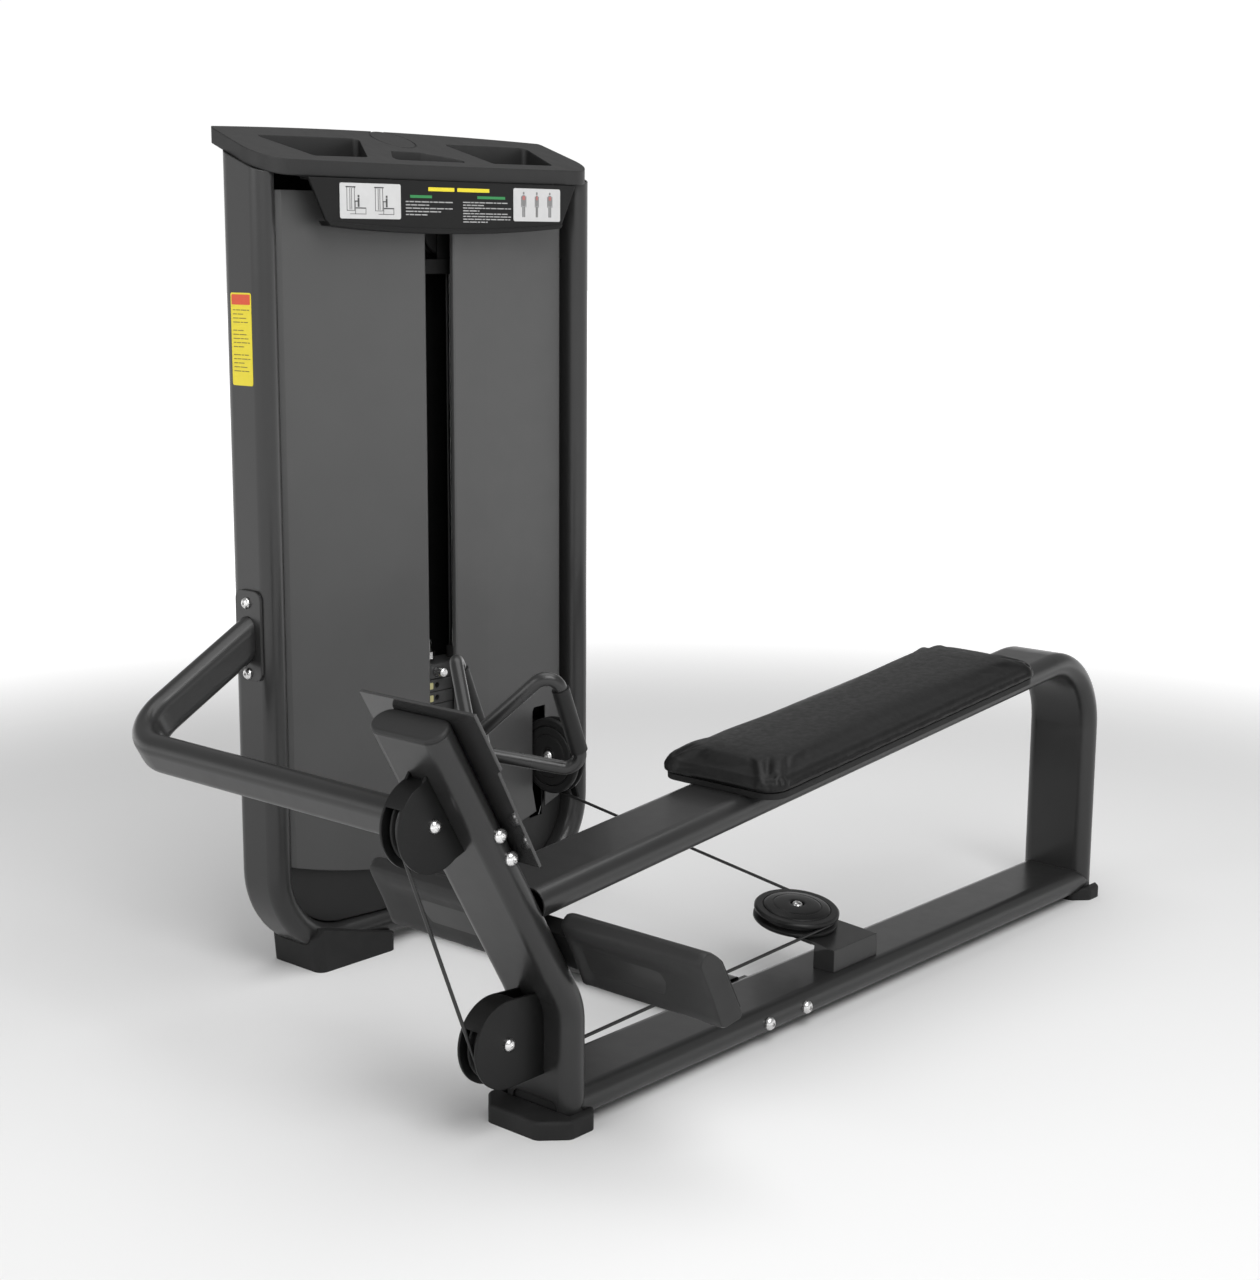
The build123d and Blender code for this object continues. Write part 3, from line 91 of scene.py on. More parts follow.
class Finish:
    """A principled material whose colour, roughness and bump come from textures in metres."""

    def __init__(self, name, metallic=0.0, coat=0.0, sheen=0.0, specular=0.5):
        self.material = bpy.data.materials.new(name)
        self.material.use_nodes = True
        self.tree = self.material.node_tree
        self.shader = self.tree.nodes["Principled BSDF"]
        self.shader.inputs["Metallic"].default_value = metallic
        self.shader.inputs["Coat Weight"].default_value = coat
        self.shader.inputs["Sheen Weight"].default_value = sheen
        self.shader.inputs["Specular IOR Level"].default_value = specular
        self.place = self.tree.nodes.new("ShaderNodeTexCoord").outputs["Object"]
        self.normal = None

    def soft_edges(self, radius):
        """Rounds the look of sharp edges by a radius in metres."""
        bevel = self.tree.nodes.new("ShaderNodeBevel")
        bevel.samples = 4
        bevel.inputs["Radius"].default_value = radius
        self.normal = bevel.outputs["Normal"]
        return self

    def noise(self, scale, detail=3.0, stretch=(1, 1, 1), rough=0.55):
        mapping = self.tree.nodes.new("ShaderNodeMapping")
        mapping.inputs["Scale"].default_value = stretch
        self.tree.links.new(self.place, mapping.inputs["Vector"])
        texture = self.tree.nodes.new("ShaderNodeTexNoise")
        texture.inputs["Scale"].default_value = scale
        texture.inputs["Detail"].default_value = detail
        texture.inputs["Roughness"].default_value = rough
        self.tree.links.new(mapping.outputs["Vector"], texture.inputs["Vector"])
        return texture.outputs["Fac"]

    def cells(self, scale, feature="F1"):
        texture = self.tree.nodes.new("ShaderNodeTexVoronoi")
        texture.feature = feature
        texture.inputs["Scale"].default_value = scale
        self.tree.links.new(self.place, texture.inputs["Vector"])
        return texture.outputs["Distance"]

    def ramp(self, source, low, high):
        """Spreads a 0 to 1 signal between two values."""
        spread = self.tree.nodes.new("ShaderNodeMapRange")
        spread.inputs["From Min"].default_value = 0.3
        spread.inputs["From Max"].default_value = 0.7
        spread.inputs["To Min"].default_value = low
        spread.inputs["To Max"].default_value = high
        self.tree.links.new(source, spread.inputs["Value"])
        return spread.outputs["Result"]

    def blend_colours(self, source, first, second):
        colours = self.tree.nodes.new("ShaderNodeValToRGB")
        colours.color_ramp.elements[0].position = 0.35
        colours.color_ramp.elements[1].position = 0.68
        colours.color_ramp.elements[0].color = first
        colours.color_ramp.elements[1].color = second
        self.tree.links.new(source, colours.inputs["Fac"])
        return colours.outputs["Color"]

    def colour(self, source, first, second):
        self.tree.links.new(self.blend_colours(source, first, second),
                            self.shader.inputs["Base Color"])
        return self

    def roughness(self, source, low, high):
        self.tree.links.new(self.ramp(source, low, high), self.shader.inputs["Roughness"])
        return self

    def bump(self, source, strength, depth):
        """Adds one layer of relief; depth is in metres."""
        layer = self.tree.nodes.new("ShaderNodeBump")
        layer.inputs["Strength"].default_value = strength
        layer.inputs["Distance"].default_value = depth
        self.tree.links.new(source, layer.inputs["Height"])
        if self.normal is not None:
            self.tree.links.new(self.normal, layer.inputs["Normal"])
        self.normal = layer.outputs["Normal"]
        self.tree.links.new(self.normal, self.shader.inputs["Normal"])
        return self


def powder_coat(name, value, rough=0.42, coat=0.08, specular=0.45, edge=0.003):
    """Satin powder coat: fine orange peel, a hardly visible mottling and softened edges."""
    finish = Finish(name, coat=coat, specular=specular).soft_edges(edge)
    finish.colour(finish.noise(5.0, 2.0), grey(value * 0.97), grey(value * 1.03))
    finish.roughness(finish.noise(24.0, 2.0), rough - 0.02, rough + 0.04)
    finish.bump(finish.noise(420.0, 1.0), 0.12, 0.00012)
    return finish.material


def moulding(name, value, rough=0.5, specular=0.35, edge=0.004):
    """Textured moulded plastic: a fine even grain and softened edges."""
    finish = Finish(name, specular=specular).soft_edges(edge)
    finish.colour(finish.noise(8.0, 2.0), grey(value * 0.96), grey(value * 1.04))
    finish.roughness(finish.noise(30.0, 2.0), rough - 0.02, rough + 0.04)
    finish.bump(finish.cells(700.0), 0.10, 0.00012)
    return finish.material


def rubber(name, value=0.016, rough=0.62):
    finish = Finish(name, specular=0.25).soft_edges(0.003)
    finish.colour(finish.noise(30.0, 3.0), grey(value * 0.88), grey(value * 1.15))
    finish.roughness(finish.noise(60.0, 3.0), rough - 0.05, rough + 0.06)
    finish.bump(finish.noise(520.0, 3.0), 0.2, 0.0002)
    return finish.material


def two_faced(name, outside, inside, split_x, rough=0.42):
    """Sheet painted grey outside and black inside the tower; split_x parts the two sides."""
    finish = Finish(name, coat=0.05, specular=0.4).soft_edges(0.002)
    place = finish.tree.nodes.new("ShaderNodeSeparateXYZ")
    finish.tree.links.new(finish.place, place.inputs["Vector"])
    side = finish.tree.nodes.new("ShaderNodeMath")
    side.operation = "GREATER_THAN"
    side.inputs[1].default_value = split_x
    finish.tree.links.new(place.outputs["X"], side.inputs[0])
    grain = finish.blend_colours(finish.noise(5.0, 2.0), grey(outside * 0.97),
                                 grey(outside * 1.03))
    choose = finish.tree.nodes.new("ShaderNodeMix")
    choose.data_type = "RGBA"
    finish.tree.links.new(side.outputs["Value"], choose.inputs["Factor"])
    finish.tree.links.new(grain, choose.inputs["A"])
    choose.inputs["B"].default_value = grey(inside)
    finish.tree.links.new(choose.outputs["Result"], finish.shader.inputs["Base Color"])
    finish.roughness(finish.noise(24.0, 2.0), rough - 0.02, rough + 0.04)
    finish.bump(finish.noise(420.0, 1.0), 0.12, 0.00012)
    return finish.material


def cast_iron(name):
    """Painted casting with a coarse skin."""
    finish = Finish(name, metallic=0.1, specular=0.35).soft_edges(0.002)
    finish.colour(finish.noise(40.0, 4.0), grey(0.030), grey(0.045))
    finish.roughness(finish.noise(80.0, 4.0), 0.42, 0.56)
    finish.bump(finish.noise(260.0, 4.0), 0.3, 0.0004)
    return finish.material


def bare_metal(name, value, rough, stretch=(1, 1, 1), scale=220.0):
    """Plated or polished steel with fine drawn lines."""
    finish = Finish(name, metallic=1.0)
    finish.colour(finish.noise(25.0, 3.0), grey(value * 0.96, 0.004), grey(value * 1.03, 0.004))
    finish.roughness(finish.noise(scale, 3.0, stretch), rough * 0.85, rough * 1.25)
    finish.bump(finish.noise(scale * 2, 1.0, stretch), 0.04, 0.0001)
    return finish.material


def vinyl(name):
    """Black upholstery vinyl: pebbled leather grain, creased in broad soft waves."""
    finish = Finish(name, specular=0.26)
    finish.colour(finish.noise(55.0, 4.0), grey(0.004), grey(0.0075))
    finish.roughness(finish.noise(90.0, 4.0), 0.40, 0.52)
    finish.bump(finish.cells(330.0, "DISTANCE_TO_EDGE"), 0.5, 0.0005)
    finish.bump(finish.noise(700.0, 3.0), 0.2, 0.0002)
    finish.bump(finish.noise(22.0, 3.0), 0.2, 0.001)
    return finish.material


def cable_jacket(name):
    finish = Finish(name, coat=0.15)
    finish.colour(finish.noise(60.0, 3.0), grey(0.009), grey(0.014))
    finish.roughness(finish.noise(200.0, 3.0), 0.30, 0.42)
    finish.bump(finish.noise(500.0, 2.0), 0.15, 0.0002)
    return finish.material


def printed(name, colour, rough=0.45):
    """Label film or ink: a hardly mottled colour."""
    finish = Finish(name)
    darker = tuple(part * 0.96 for part in colour[:3]) + (1.0,)
    finish.colour(finish.noise(70.0, 3.0), darker, colour)
    finish.roughness(finish.noise(90.0, 2.0), rough - 0.04, rough + 0.05)
    finish.bump(finish.noise(400.0, 2.0), 0.04, 0.0001)
    return finish.material


FINISHES = {
    "frame_paint": powder_coat("frame_powder_coat", 0.020, 0.30),
    "panel_paint": powder_coat("panel_powder_coat", 0.064, 0.42, 0.04),
    "moulding": moulding("dark_moulding", 0.016),
    "gloss_plate": powder_coat("plate_enamel", 0.022, 0.10, 0.4, 0.6),
    "panel_print": printed("label_grey", grey(0.55)),
    "rubber": rubber("black_rubber"),
    "iron": cast_iron("painted_iron"),
    "chrome": bare_metal("chrome_plate", 0.72, 0.14, (1, 1, 0.05)),
    "steel": bare_metal("zinc_plate", 0.80, 0.26),
    "pulley_plastic": moulding("pulley_nylon", 0.012, 0.36),
    "cable_jacket": cable_jacket("cable_jacket_black"),
    "handle_paint": powder_coat("handle_enamel", 0.016, 0.28),
    "vinyl": vinyl("seat_vinyl"),
    "board": moulding("board_edge", 0.010, 0.7),
}
PRINTS = {
    "yellow": printed("print_yellow", (0.72, 0.60, 0.02, 1.0)),
    "red": printed("print_red", (0.62, 0.07, 0.02, 1.0)),
    "green": printed("print_green", (0.02, 0.22, 0.06, 1.0)),
    "pale": printed("print_pale", grey(0.36)),
    "ink": printed("print_ink", grey(0.05)),
    "rose": printed("print_rose", (0.40, 0.14, 0.13, 1.0)),
    "figure": printed("print_figure", grey(0.20)),
    "olive": printed("print_olive", (0.16, 0.13, 0.02, 1.0)),
    "straw": printed("print_straw", (0.45, 0.42, 0.20, 1.0)),
}
GUARD_BLACK = powder_coat("guard_enamel", 0.004, 0.40, 0.0, 0.3)
INNER_BLACK = powder_coat("inner_black", 0.004, 0.6, 0.0, 0.2)
PLACARD_BLACK = moulding("placard_black", 0.004, 0.5, 0.25)
GRIP_BLACK = rubber("grip_rubber", 0.010, 0.42)
SLOT_OF = {part["node"]: part["material_slot"] for part in frame["record"]["subparts"]}


def special_finishes():
    """Nodes whose finish differs from the others in their slot."""
    low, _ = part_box("shroud_rear")
    rear = two_faced("rear_panel_paint", 0.064, 0.003, low[0] + REAR_SPLIT)
    special = {"shroud_rear": rear, "placard": PLACARD_BLACK, "handle_grips": GRIP_BLACK}
    for name in ("upper_guard", "lower_guard"):
        special[name] = GUARD_BLACK
    for name in ("rod_bar_high", "rod_bar_low", "top_pulley_hangers", "tower_pulley_arm",
                 "top_pulley_side", "top_pulley_centre"):
        special[name] = INNER_BLACK
    return special


def dress_cad_nodes():
    special = special_finishes()
    for name, part in nodes.items():
        material = special.get(name, FINISHES[SLOT_OF[name]])
        if not part.material_slots:
            part.data.materials.append(material)
        for place in part.material_slots:
            place.material = material


# ---- mesh helpers ------------------------------------------------------------------------
def add_mesh(name, points, faces, slot, body, smooth=True):
    mesh = bpy.data.meshes.new(name)
    mesh.from_pydata([tuple(p) for p in points], [], faces)
    mesh.update()
    piece = bpy.data.objects.new(name, mesh)
    bpy.context.collection.objects.link(piece)
    mesh.materials.append(FINISHES[slot])
    for face in mesh.polygons:
        face.use_smooth = smooth
    if body:
        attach(piece, body)
    return piece


def tube_points(start, end, radius, rings, sides=16):
    """Rings of a straight round bar, closed at both ends."""
    axis = (end - start).normalized()
    side = axis.orthogonal().normalized()
    other = axis.cross(side)
    points, faces = [], []
    for i in range(rings):
        centre = start.lerp(end, i / (rings - 1))
        for j in range(sides):
            turn = 2 * math.pi * j / sides
            points.append(centre + (side * math.cos(turn) + other * math.sin(turn)) * radius)
    for i in range(rings - 1):
        for j in range(sides):
            k = (j + 1) % sides
            faces.append([i * sides + j, i * sides + k, (i + 1) * sides + k, (i + 1) * sides + j])
    faces.append(list(range(sides))[::-1])
    faces.append([(rings - 1) * sides + j for j in range(sides)])
    return points, faces


# ---- seat cushion ------------------------------------------------------------------------
def pad_frame():
    """Axes of the cushion: its lowest middle point, and its unit vectors along and up."""
    low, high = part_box("seat_pad")
    along = Vector((0, math.cos(SEAT_TILT), math.sin(SEAT_TILT)))
    up = Vector((0, -math.sin(SEAT_TILT), math.cos(SEAT_TILT)))
    length = (high[1] - low[1] - PAD_THICK * math.sin(SEAT_TILT)) / math.cos(SEAT_TILT)
    front = Vector(((low[0] + high[0]) / 2, low[1] + PAD_THICK * math.sin(SEAT_TILT), low[2]))
    return front, along, up, length, high[0] - low[0]


def rounded_loop(half_w, half_l, corner, per_corner=10):
    """Outline of a rounded rectangle as (x, y) points, with its long sides divided."""
    points = []
    quarters = [(1, 1, 0), (-1, 1, 90), (-1, -1, 180), (1, -1, 270)]
    for sx, sy, start in quarters:
        cx, cy = sx * (half_w - corner), sy * (half_l - corner)
        for i in range(per_corner + 1):
            turn = math.radians(start + 90 * i / per_corner)
            points.append((cx + corner * math.cos(turn), cy + corner * math.sin(turn)))
    dense = []
    for i, p in enumerate(points):
        q = points[(i + 1) % len(points)]
        gap = math.dist(p, q)
        steps = max(1, round(gap / 0.02)) if gap > corner * 0.5 else 1
        dense += [(p[0] + (q[0] - p[0]) * k / steps, p[1] + (q[1] - p[1]) * k / steps)
                  for k in range(steps)]
    return dense


# inset from the outline and height above the board, from the stapled edge to the crown
PAD_PROFILE = [(0.010, 0.000), (0.003, 0.003), (0.001, 0.012), (0.003, 0.022), (0.010, 0.029),
               (0.024, 0.0335), (0.045, 0.0365), (0.075, 0.0385), (0.105, 0.0395)]


def cushion_shape():
    """Rings from the stapled edge to the crown, each the first ring drawn in and raised."""
    front, along, up, length, width = pad_frame()
    centre = front + along * (length / 2)
    first_inset = PAD_PROFILE[0][0]
    half_w, half_l = width / 2 - first_inset, length / 2 - first_inset
    reference = rounded_loop(half_w, half_l, PAD_CORNER - first_inset * 0.35)
    count = len(reference)
    points, faces = [], []
    for inset, height in PAD_PROFILE:
        scale_x = (width / 2 - inset) / half_w
        scale_y = (length / 2 - inset) / half_l
        for x, y in reference:
            across = Vector((x * scale_x, 0, 0))
            points.append(centre + across + along * (y * scale_y) + up * height)
    for ring in range(len(PAD_PROFILE) - 1):
        for j in range(count):
            k = (j + 1) % count
            faces.append([ring * count + j, ring * count + k, (ring + 1) * count + k,
                          (ring + 1) * count + j])
    faces.append(list(range(count))[::-1])
    last = (len(PAD_PROFILE) - 1) * count
    faces.append([last + j for j in range(count)])
    return points, faces


def inflate(piece, fixed_below, frames=20, cap=0.007):
    """Remeshes a closed shape, blows it up as cloth and keeps the result as plain mesh."""
    front, _, up, _, _ = pad_frame()
    select_only(piece)
    remesh = piece.modifiers.new("remesh", "REMESH")
    remesh.mode = "VOXEL"
    remesh.voxel_size = 0.005
    bpy.ops.object.modifier_apply(modifier=remesh.name)
    start = [v.co.copy() for v in piece.data.vertices]
    held = piece.vertex_groups.new(name="held")
    low = [i for i, p in enumerate(start) if (p - front).dot(up) < fixed_below]
    held.add(low, 1.0, "ADD")
    cloth = piece.modifiers.new("cloth", "CLOTH")
    cloth.settings.use_pressure = True
    cloth.settings.uniform_pressure_force = 4.0
    cloth.settings.effector_weights.gravity = 0.0
    cloth.settings.vertex_group_mass = "held"
    cloth.point_cache.frame_start = 1
    cloth.point_cache.frame_end = frames
    scene = bpy.context.scene
    for number in range(1, frames + 1):
        scene.frame_set(number)
    shaped = piece.evaluated_get(bpy.context.evaluated_depsgraph_get())
    moved = [v.co.copy() for v in shaped.data.vertices]
    piece.modifiers.remove(cloth)
    for vertex, before, after in zip(piece.data.vertices, start, moved):
        shift = after - before
        if shift.length > cap:
            shift *= cap / shift.length
        vertex.co = before + shift
    scene.frame_set(1)


def select_only(piece):
    bpy.ops.object.select_all(action="DESELECT")
    piece.select_set(True)
    bpy.context.view_layer.objects.active = piece


def press_welt(piece):
    """Presses the faint seam where the cover's top panel meets its border."""
    front, along, up, length, width = pad_frame()
    half_w, half_l = width / 2 - 0.020, length / 2 - 0.020
    corner = 0.03
    for vertex in piece.data.vertices:
        p = vertex.co - front
        x, y, z = p.x, p.dot(along) - length / 2, p.dot(up)
        if z < 0.018:
            continue
        qx, qy = abs(x) - (half_w - corner), abs(y) - (half_l - corner)
        outside = math.hypot(max(qx, 0), max(qy, 0)) + min(max(qx, qy), 0) - corner
        vertex.co -= up * (0.0009 * math.exp(-(outside / 0.004) ** 2))


def seat_cushion():
    points, faces = cushion_shape()
    pad = add_mesh("seat_cushion", points, faces, "vinyl", None)
    inflate(pad, 0.006)
    press_welt(pad)
    smooth = pad.modifiers.new("smooth", "SUBSURF")
    smooth.levels = 1
    smooth.render_levels = 1
    select_only(pad)
    bpy.ops.object.modifier_apply(modifier=smooth.name)
    for face in pad.data.polygons:
        face.use_smooth = True
    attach(pad, "frame")
    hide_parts("seat_pad")


# ---- the cable's two taut runs -----------------------------------------------------------
def taut_runs():
    pull = Vector((0, math.cos(PULL_TILT), math.sin(PULL_TILT)))
    low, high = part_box("cable_handle_run")
    middle_x = (low[0] + high[0]) / 2
    edge = CABLE_RADIUS * math.sin(PULL_TILT)
    start = Vector((middle_x, low[1] + edge, low[2] + CABLE_RADIUS * math.cos(PULL_TILT)))
    end = Vector((middle_x, high[1] - edge, high[2] - CABLE_RADIUS * math.cos(PULL_TILT)))
    points, faces = tube_points(start, end, CABLE_RADIUS, 40)
    run = add_mesh("handle_cable", points, faces, "cable_jacket", None)
    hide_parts("cable_handle_run")
    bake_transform(run)
    low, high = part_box("cable_stack_run")
    centre = middle("cable_stack_run")
    top = Vector((centre.x, centre.y, high[2]))
    bottom = Vector((centre.x, centre.y, low[2]))
    points, faces = tube_points(top, bottom, CABLE_RADIUS, 40)
    drop = add_mesh("stack_cable", points, faces, "cable_jacket", None)
    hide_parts("cable_stack_run")
    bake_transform(drop)


# ---- prints and labels -------------------------------------------------------------------
def rounded_rectangle(u0, v0, u1, v1, corner=0.0, steps=5):
    if corner == 0:
        return [(u0, v0), (u1, v0), (u1, v1), (u0, v1)]
    points = []
    for cu, cv, start in ((u1 - corner, v0 + corner, -90), (u1 - corner, v1 - corner, 0),
                          (u0 + corner, v1 - corner, 90), (u0 + corner, v0 + corner, 180)):
        for i in range(steps + 1):
            turn = math.radians(start + 90 * i / steps)
            points.append((cu + corner * math.cos(turn), cv + corner * math.sin(turn)))
    return points


def stamp(name, outlines, origin, across, above, ink, body="frame", thick=PRINT_RAISE):
    """Thin raised shapes, each an outline of (across, above) offsets from the origin."""
    outward = across.cross(above)
    points, faces = [], []
    for shape in outlines:
        first, count = len(points), len(shape)
        for level in (0.0, thick):
            points += [origin + across * u + above * v + outward * level for u, v in shape]
        faces.append([first + k for k in range(count)][::-1])
        faces.append([first + count + k for k in range(count)])
        for k in range(count):
            j = (k + 1) % count
            faces.append([first + k, first + j, first + count + j, first + count + k])
    piece = add_mesh(name, points, faces, "panel_print", body, smooth=False)
    piece.data.materials[0] = PRINTS[ink]
    return piece


def word_row(u0, u1, v, height, first):
    """Blank bars of uneven lengths in place of one line of writing."""
    bars, u, i = [], u0, first
    while u < u1 - 0.004:
        end = min(u + 0.007 + 0.004 * (i * 5 % 4), u1)
        bars.append(rounded_rectangle(u, v, end, v + height))
        u = end + WORD_GAP
        i += 1
    return bars


def sketch_machine(u, v):
    """Thin-line tower, bench and seat of the picture on the left panel."""
    line = 0.0009
    bars = [(0, 0.010, line, 0.052), (0.018, 0.010, 0.018 + line, 0.052),
            (0, 0.010, 0.018, 0.010 + line), (-0.002, 0.051, 0.021, 0.053),
            (0.007, 0.012, 0.008, 0.050), (0.011, 0.012, 0.012, 0.050),
            (0.008, 0.004, 0.046, 0.004 + line), (0.045, 0.004, 0.045 + line, 0.015),
            (0.020, 0.014, 0.046, 0.016), (0.020, 0.004, 0.020 + line, 0.026),
            (0.026, 0.017, 0.030, 0.033), (0.026, 0.034, 0.030, 0.038), (0.018, 0.026, 0.027, 0.028)]
    return [rounded_rectangle(u + a, v + b, u + c, v + d) for a, b, c, d in bars]


def sketch_figure(u, v, width):
    """Plain standing figure: head, trunk, two arms and two legs."""
    half = width / 2
    parts = [rounded_rectangle(u - 0.0022, v + 0.046, u + 0.0022, v + 0.0515, 0.002),
             rounded_rectangle(u - half, v + 0.024, u + half, v + 0.045, 0.002)]
    for side in (-1, 1):
        leg, arm = u + side * half * 0.5, u + side * (half + 0.0018)
        parts.append(rounded_rectangle(leg - 0.0017, v + 0.003, leg + 0.0017, v + 0.0238, 0.001))
        parts.append(rounded_rectangle(arm - 0.001, v + 0.022, arm + 0.001, v + 0.043, 0.0009))
    return parts


def placard_prints():
    low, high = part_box("instruction_panels")
    along, above = Vector((0, 1, 0)), Vector((0, 0, 1))
    board = Vector(low)
    span = high[1] - low[1]
    left_end, right_start = 0.147, span - 0.132
    title = [rounded_rectangle(a, 0.0525, b, 0.0595, 0.0008)
             for a, b in ((0.217, 0.284), (0.292, 0.377))]
    stamp("placard_title", title, board, along, above, "yellow")
    heads = [rounded_rectangle(0.171, 0.0395, 0.226, 0.0445),
             rounded_rectangle(0.345, 0.0405, 0.420, 0.0455)]
    stamp("placard_headings", heads, board, along, above, "green")
    lines = []
    for i, end in enumerate((0.283, 0.222, 0.285, 0.252, 0.214)):
        lines += word_row(left_end + 0.013, end, 0.0315 - 0.0059 * i, 0.0021, i)
    for i, end in enumerate((0.430, 0.362, 0.436, 0.350, 0.432, 0.436, 0.434, 0.372)):
        lines += word_row(right_start - 0.136, end, 0.0325 - 0.0052 * i, 0.0020, i + 3)
    stamp("placard_lines", lines, board, along, above, "pale")
    face = Vector((high[0], low[1], low[2]))
    machines = sketch_machine(0.016, 0.004) + sketch_machine(0.084, 0.004)
    stamp("panel_machines", machines, face, along, above, "ink")
    figures, marks = [], []
    for i, width in enumerate((0.009, 0.0055, 0.009)):
        u = right_start + 0.028 + 0.037 * i
        figures += sketch_figure(u, 0.005, width)
        marks.append(rounded_rectangle(u - width * 0.4, 0.041, u + width * 0.4, 0.0485, 0.001))
    stamp("panel_figures", figures, face, along, above, "figure")
    stamp("panel_marks", marks, face, along, above, "rose", thick=PRINT_RAISE * 2)


def tower_sticker():
    """Blank yellow sticker with an orange head on the tower's front upright."""
    low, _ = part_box("tower_frame")
    corner = Vector((low[0] + STICKER_IN, low[1], STICKER_LOW))
    along, above = Vector((1, 0, 0)), Vector((0, 0, 1))
    sheet = [rounded_rectangle(0, 0, STICKER_WIDE, STICKER_TALL, 0.004)]
    stamp("sticker_sheet", sheet, corner, along, above, "yellow")
    head = [rounded_rectangle(STICKER_EDGE, STICKER_TALL - 0.021, STICKER_WIDE - STICKER_EDGE,
                              STICKER_TALL - STICKER_EDGE, 0.002)]
    stamp("sticker_head", head, corner, along, above, "red", thick=PRINT_RAISE * 2)
    rows = []
    for i in range(STICKER_ROWS):
        if i % 6 != 4:
            end = STICKER_WIDE - 0.006 - 0.004 * (i * 7 % 4)
            level = STICKER_TALL - 0.031 - STICKER_PITCH * i
            rows += word_row(0.006, end, level, 0.0014, i)
    stamp("sticker_rows", rows, corner, along, above, "olive", thick=PRINT_RAISE * 2)


def plate_squares():
    """Pale square beside each plate's pin hole."""
    low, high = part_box("weight_plates")
    pitch = (high[2] - low[2] + PLATE_GAP) / PLATE_COUNT
    squares = []
    for i in range(PLATE_COUNT):
        v = (i + 0.5) * pitch - PLATE_SQUARE / 2 - PLATE_GAP / 2
        squares.append(rounded_rectangle(0, v, PLATE_SQUARE, v + PLATE_SQUARE, 0.0015))
    corner = Vector((high[0], (low[1] + high[1]) / 2 - 0.0235, low[2]))
    stamp("plate_squares", squares, corner, Vector((0, 1, 0)), Vector((0, 0, 1)), "straw")


# ---- pulley covers and foot rests --------------------------------------------------------
def revolved(name, profile, centre, axis, slot, body, sides=96):
    """Solid of revolution of (radius, height) points about an axis."""
    axis = axis.normalized()
    side = axis.orthogonal().normalized()
    other = axis.cross(side)
    points, faces = [], []
    count = len(profile)
    for j in range(sides):
        turn = 2 * math.pi * j / sides
        out = side * math.cos(turn) + other * math.sin(turn)
        points += [centre + out * r + axis * h for r, h in profile]
    for j in range(sides):
        k = (j + 1) % sides
        for i in range(count):
            n = (i + 1) % count
            faces.append([j * count + i, k * count + i, k * count + n, j * count + n])
    piece = add_mesh(name, points, faces, slot, body)
    piece.data.set_sharp_from_angle(angle=math.radians(38))
    return piece


def cover_profile(outer, floor, rim, crown, hole):
    """Domed disc with a round hole in the middle and a fine ring groove near its edge."""
    profile = [(hole, floor), (hole, crown - 0.001), (hole + 0.0015, crown)]
    groove = outer * 0.72
    steps = 12
    for i in range(1, steps + 1):
        r = hole + 0.0015 + (outer - hole - 0.003) * i / steps
        fall = ((r - hole) / (outer - hole)) ** 2
        if abs(r - groove) > 0.0022:
            profile.append((r, crown - (crown - rim) * fall))
        elif all(abs(r - groove) <= abs(q - groove) for q in (r - 0.003, r + 0.003)):
            level = crown - (crown - rim) * fall
            profile += [(groove - 0.0009, level), (groove, level - 0.0011), (groove + 0.0009, level)]
    profile += [(outer, rim - 0.0015), (outer, floor)]
    return profile


def pulley_covers():
    axis = Vector(TURN_AXIS)
    centre = middle("turning_pulley")
    half = BIG_PULLEY_WIDE / 2
    profile = cover_profile(COVER_RADIUS, half - 0.0028, half + 0.001, half + 0.0075, 0.0135)
    revolved("turning_pulley_cover", profile, centre, axis, "pulley_plastic", "turning_wheel")
    centre = middle("tower_pulley")
    profile = cover_profile(COVER_RADIUS, half - 0.0005, half + 0.0008, half + 0.0028, 0.016)
    revolved("tower_pulley_cover", profile, centre, Vector((0, -1, 0)), "pulley_plastic",
             "tower_wheel")


# (y, z) corners of a foot rest's section, from its lower front edge over the lip to the user's side
REST_SECTION = [(0.023, 0.242), (0.0170, 0.2545), (0.0110, 0.2670), (-0.0010, 0.2920),
                (-0.0080, 0.3065), (-0.0130, 0.3170), (-0.0175, 0.3263), (-0.0205, 0.3325),
                (-0.0235, 0.3388), (-0.0262, 0.3444), (-0.0285, 0.3500), (-0.0270, 0.3550),
                (-0.0225, 0.3595), (-0.0200, 0.3625), (-0.0150, 0.3655), (-0.0080, 0.3655),
                (0.0020, 0.3620), (0.0125, 0.3550), (0.0210, 0.3460), (0.0470, 0.2980),
                (0.0700, 0.2545), (0.0725, 0.2490), (0.0680, 0.2430), (0.0330, 0.2380)]
# how far the section's front points are pressed in where the hollow is deepest; under 0 bulges
REST_PRESS = {0: 0.0045, 1: 0.0055, 2: 0.0062, 3: 0.0066, 4: 0.0064, 5: 0.0050, 6: 0.0012,
              7: -0.0008, 8: -0.0010, 12: 0.0030, 13: 0.0010}
REST_MIDDLE = (0.022, 0.300)           # (y, z) inside the section, towards which its ends close
REST_STATIONS = 48


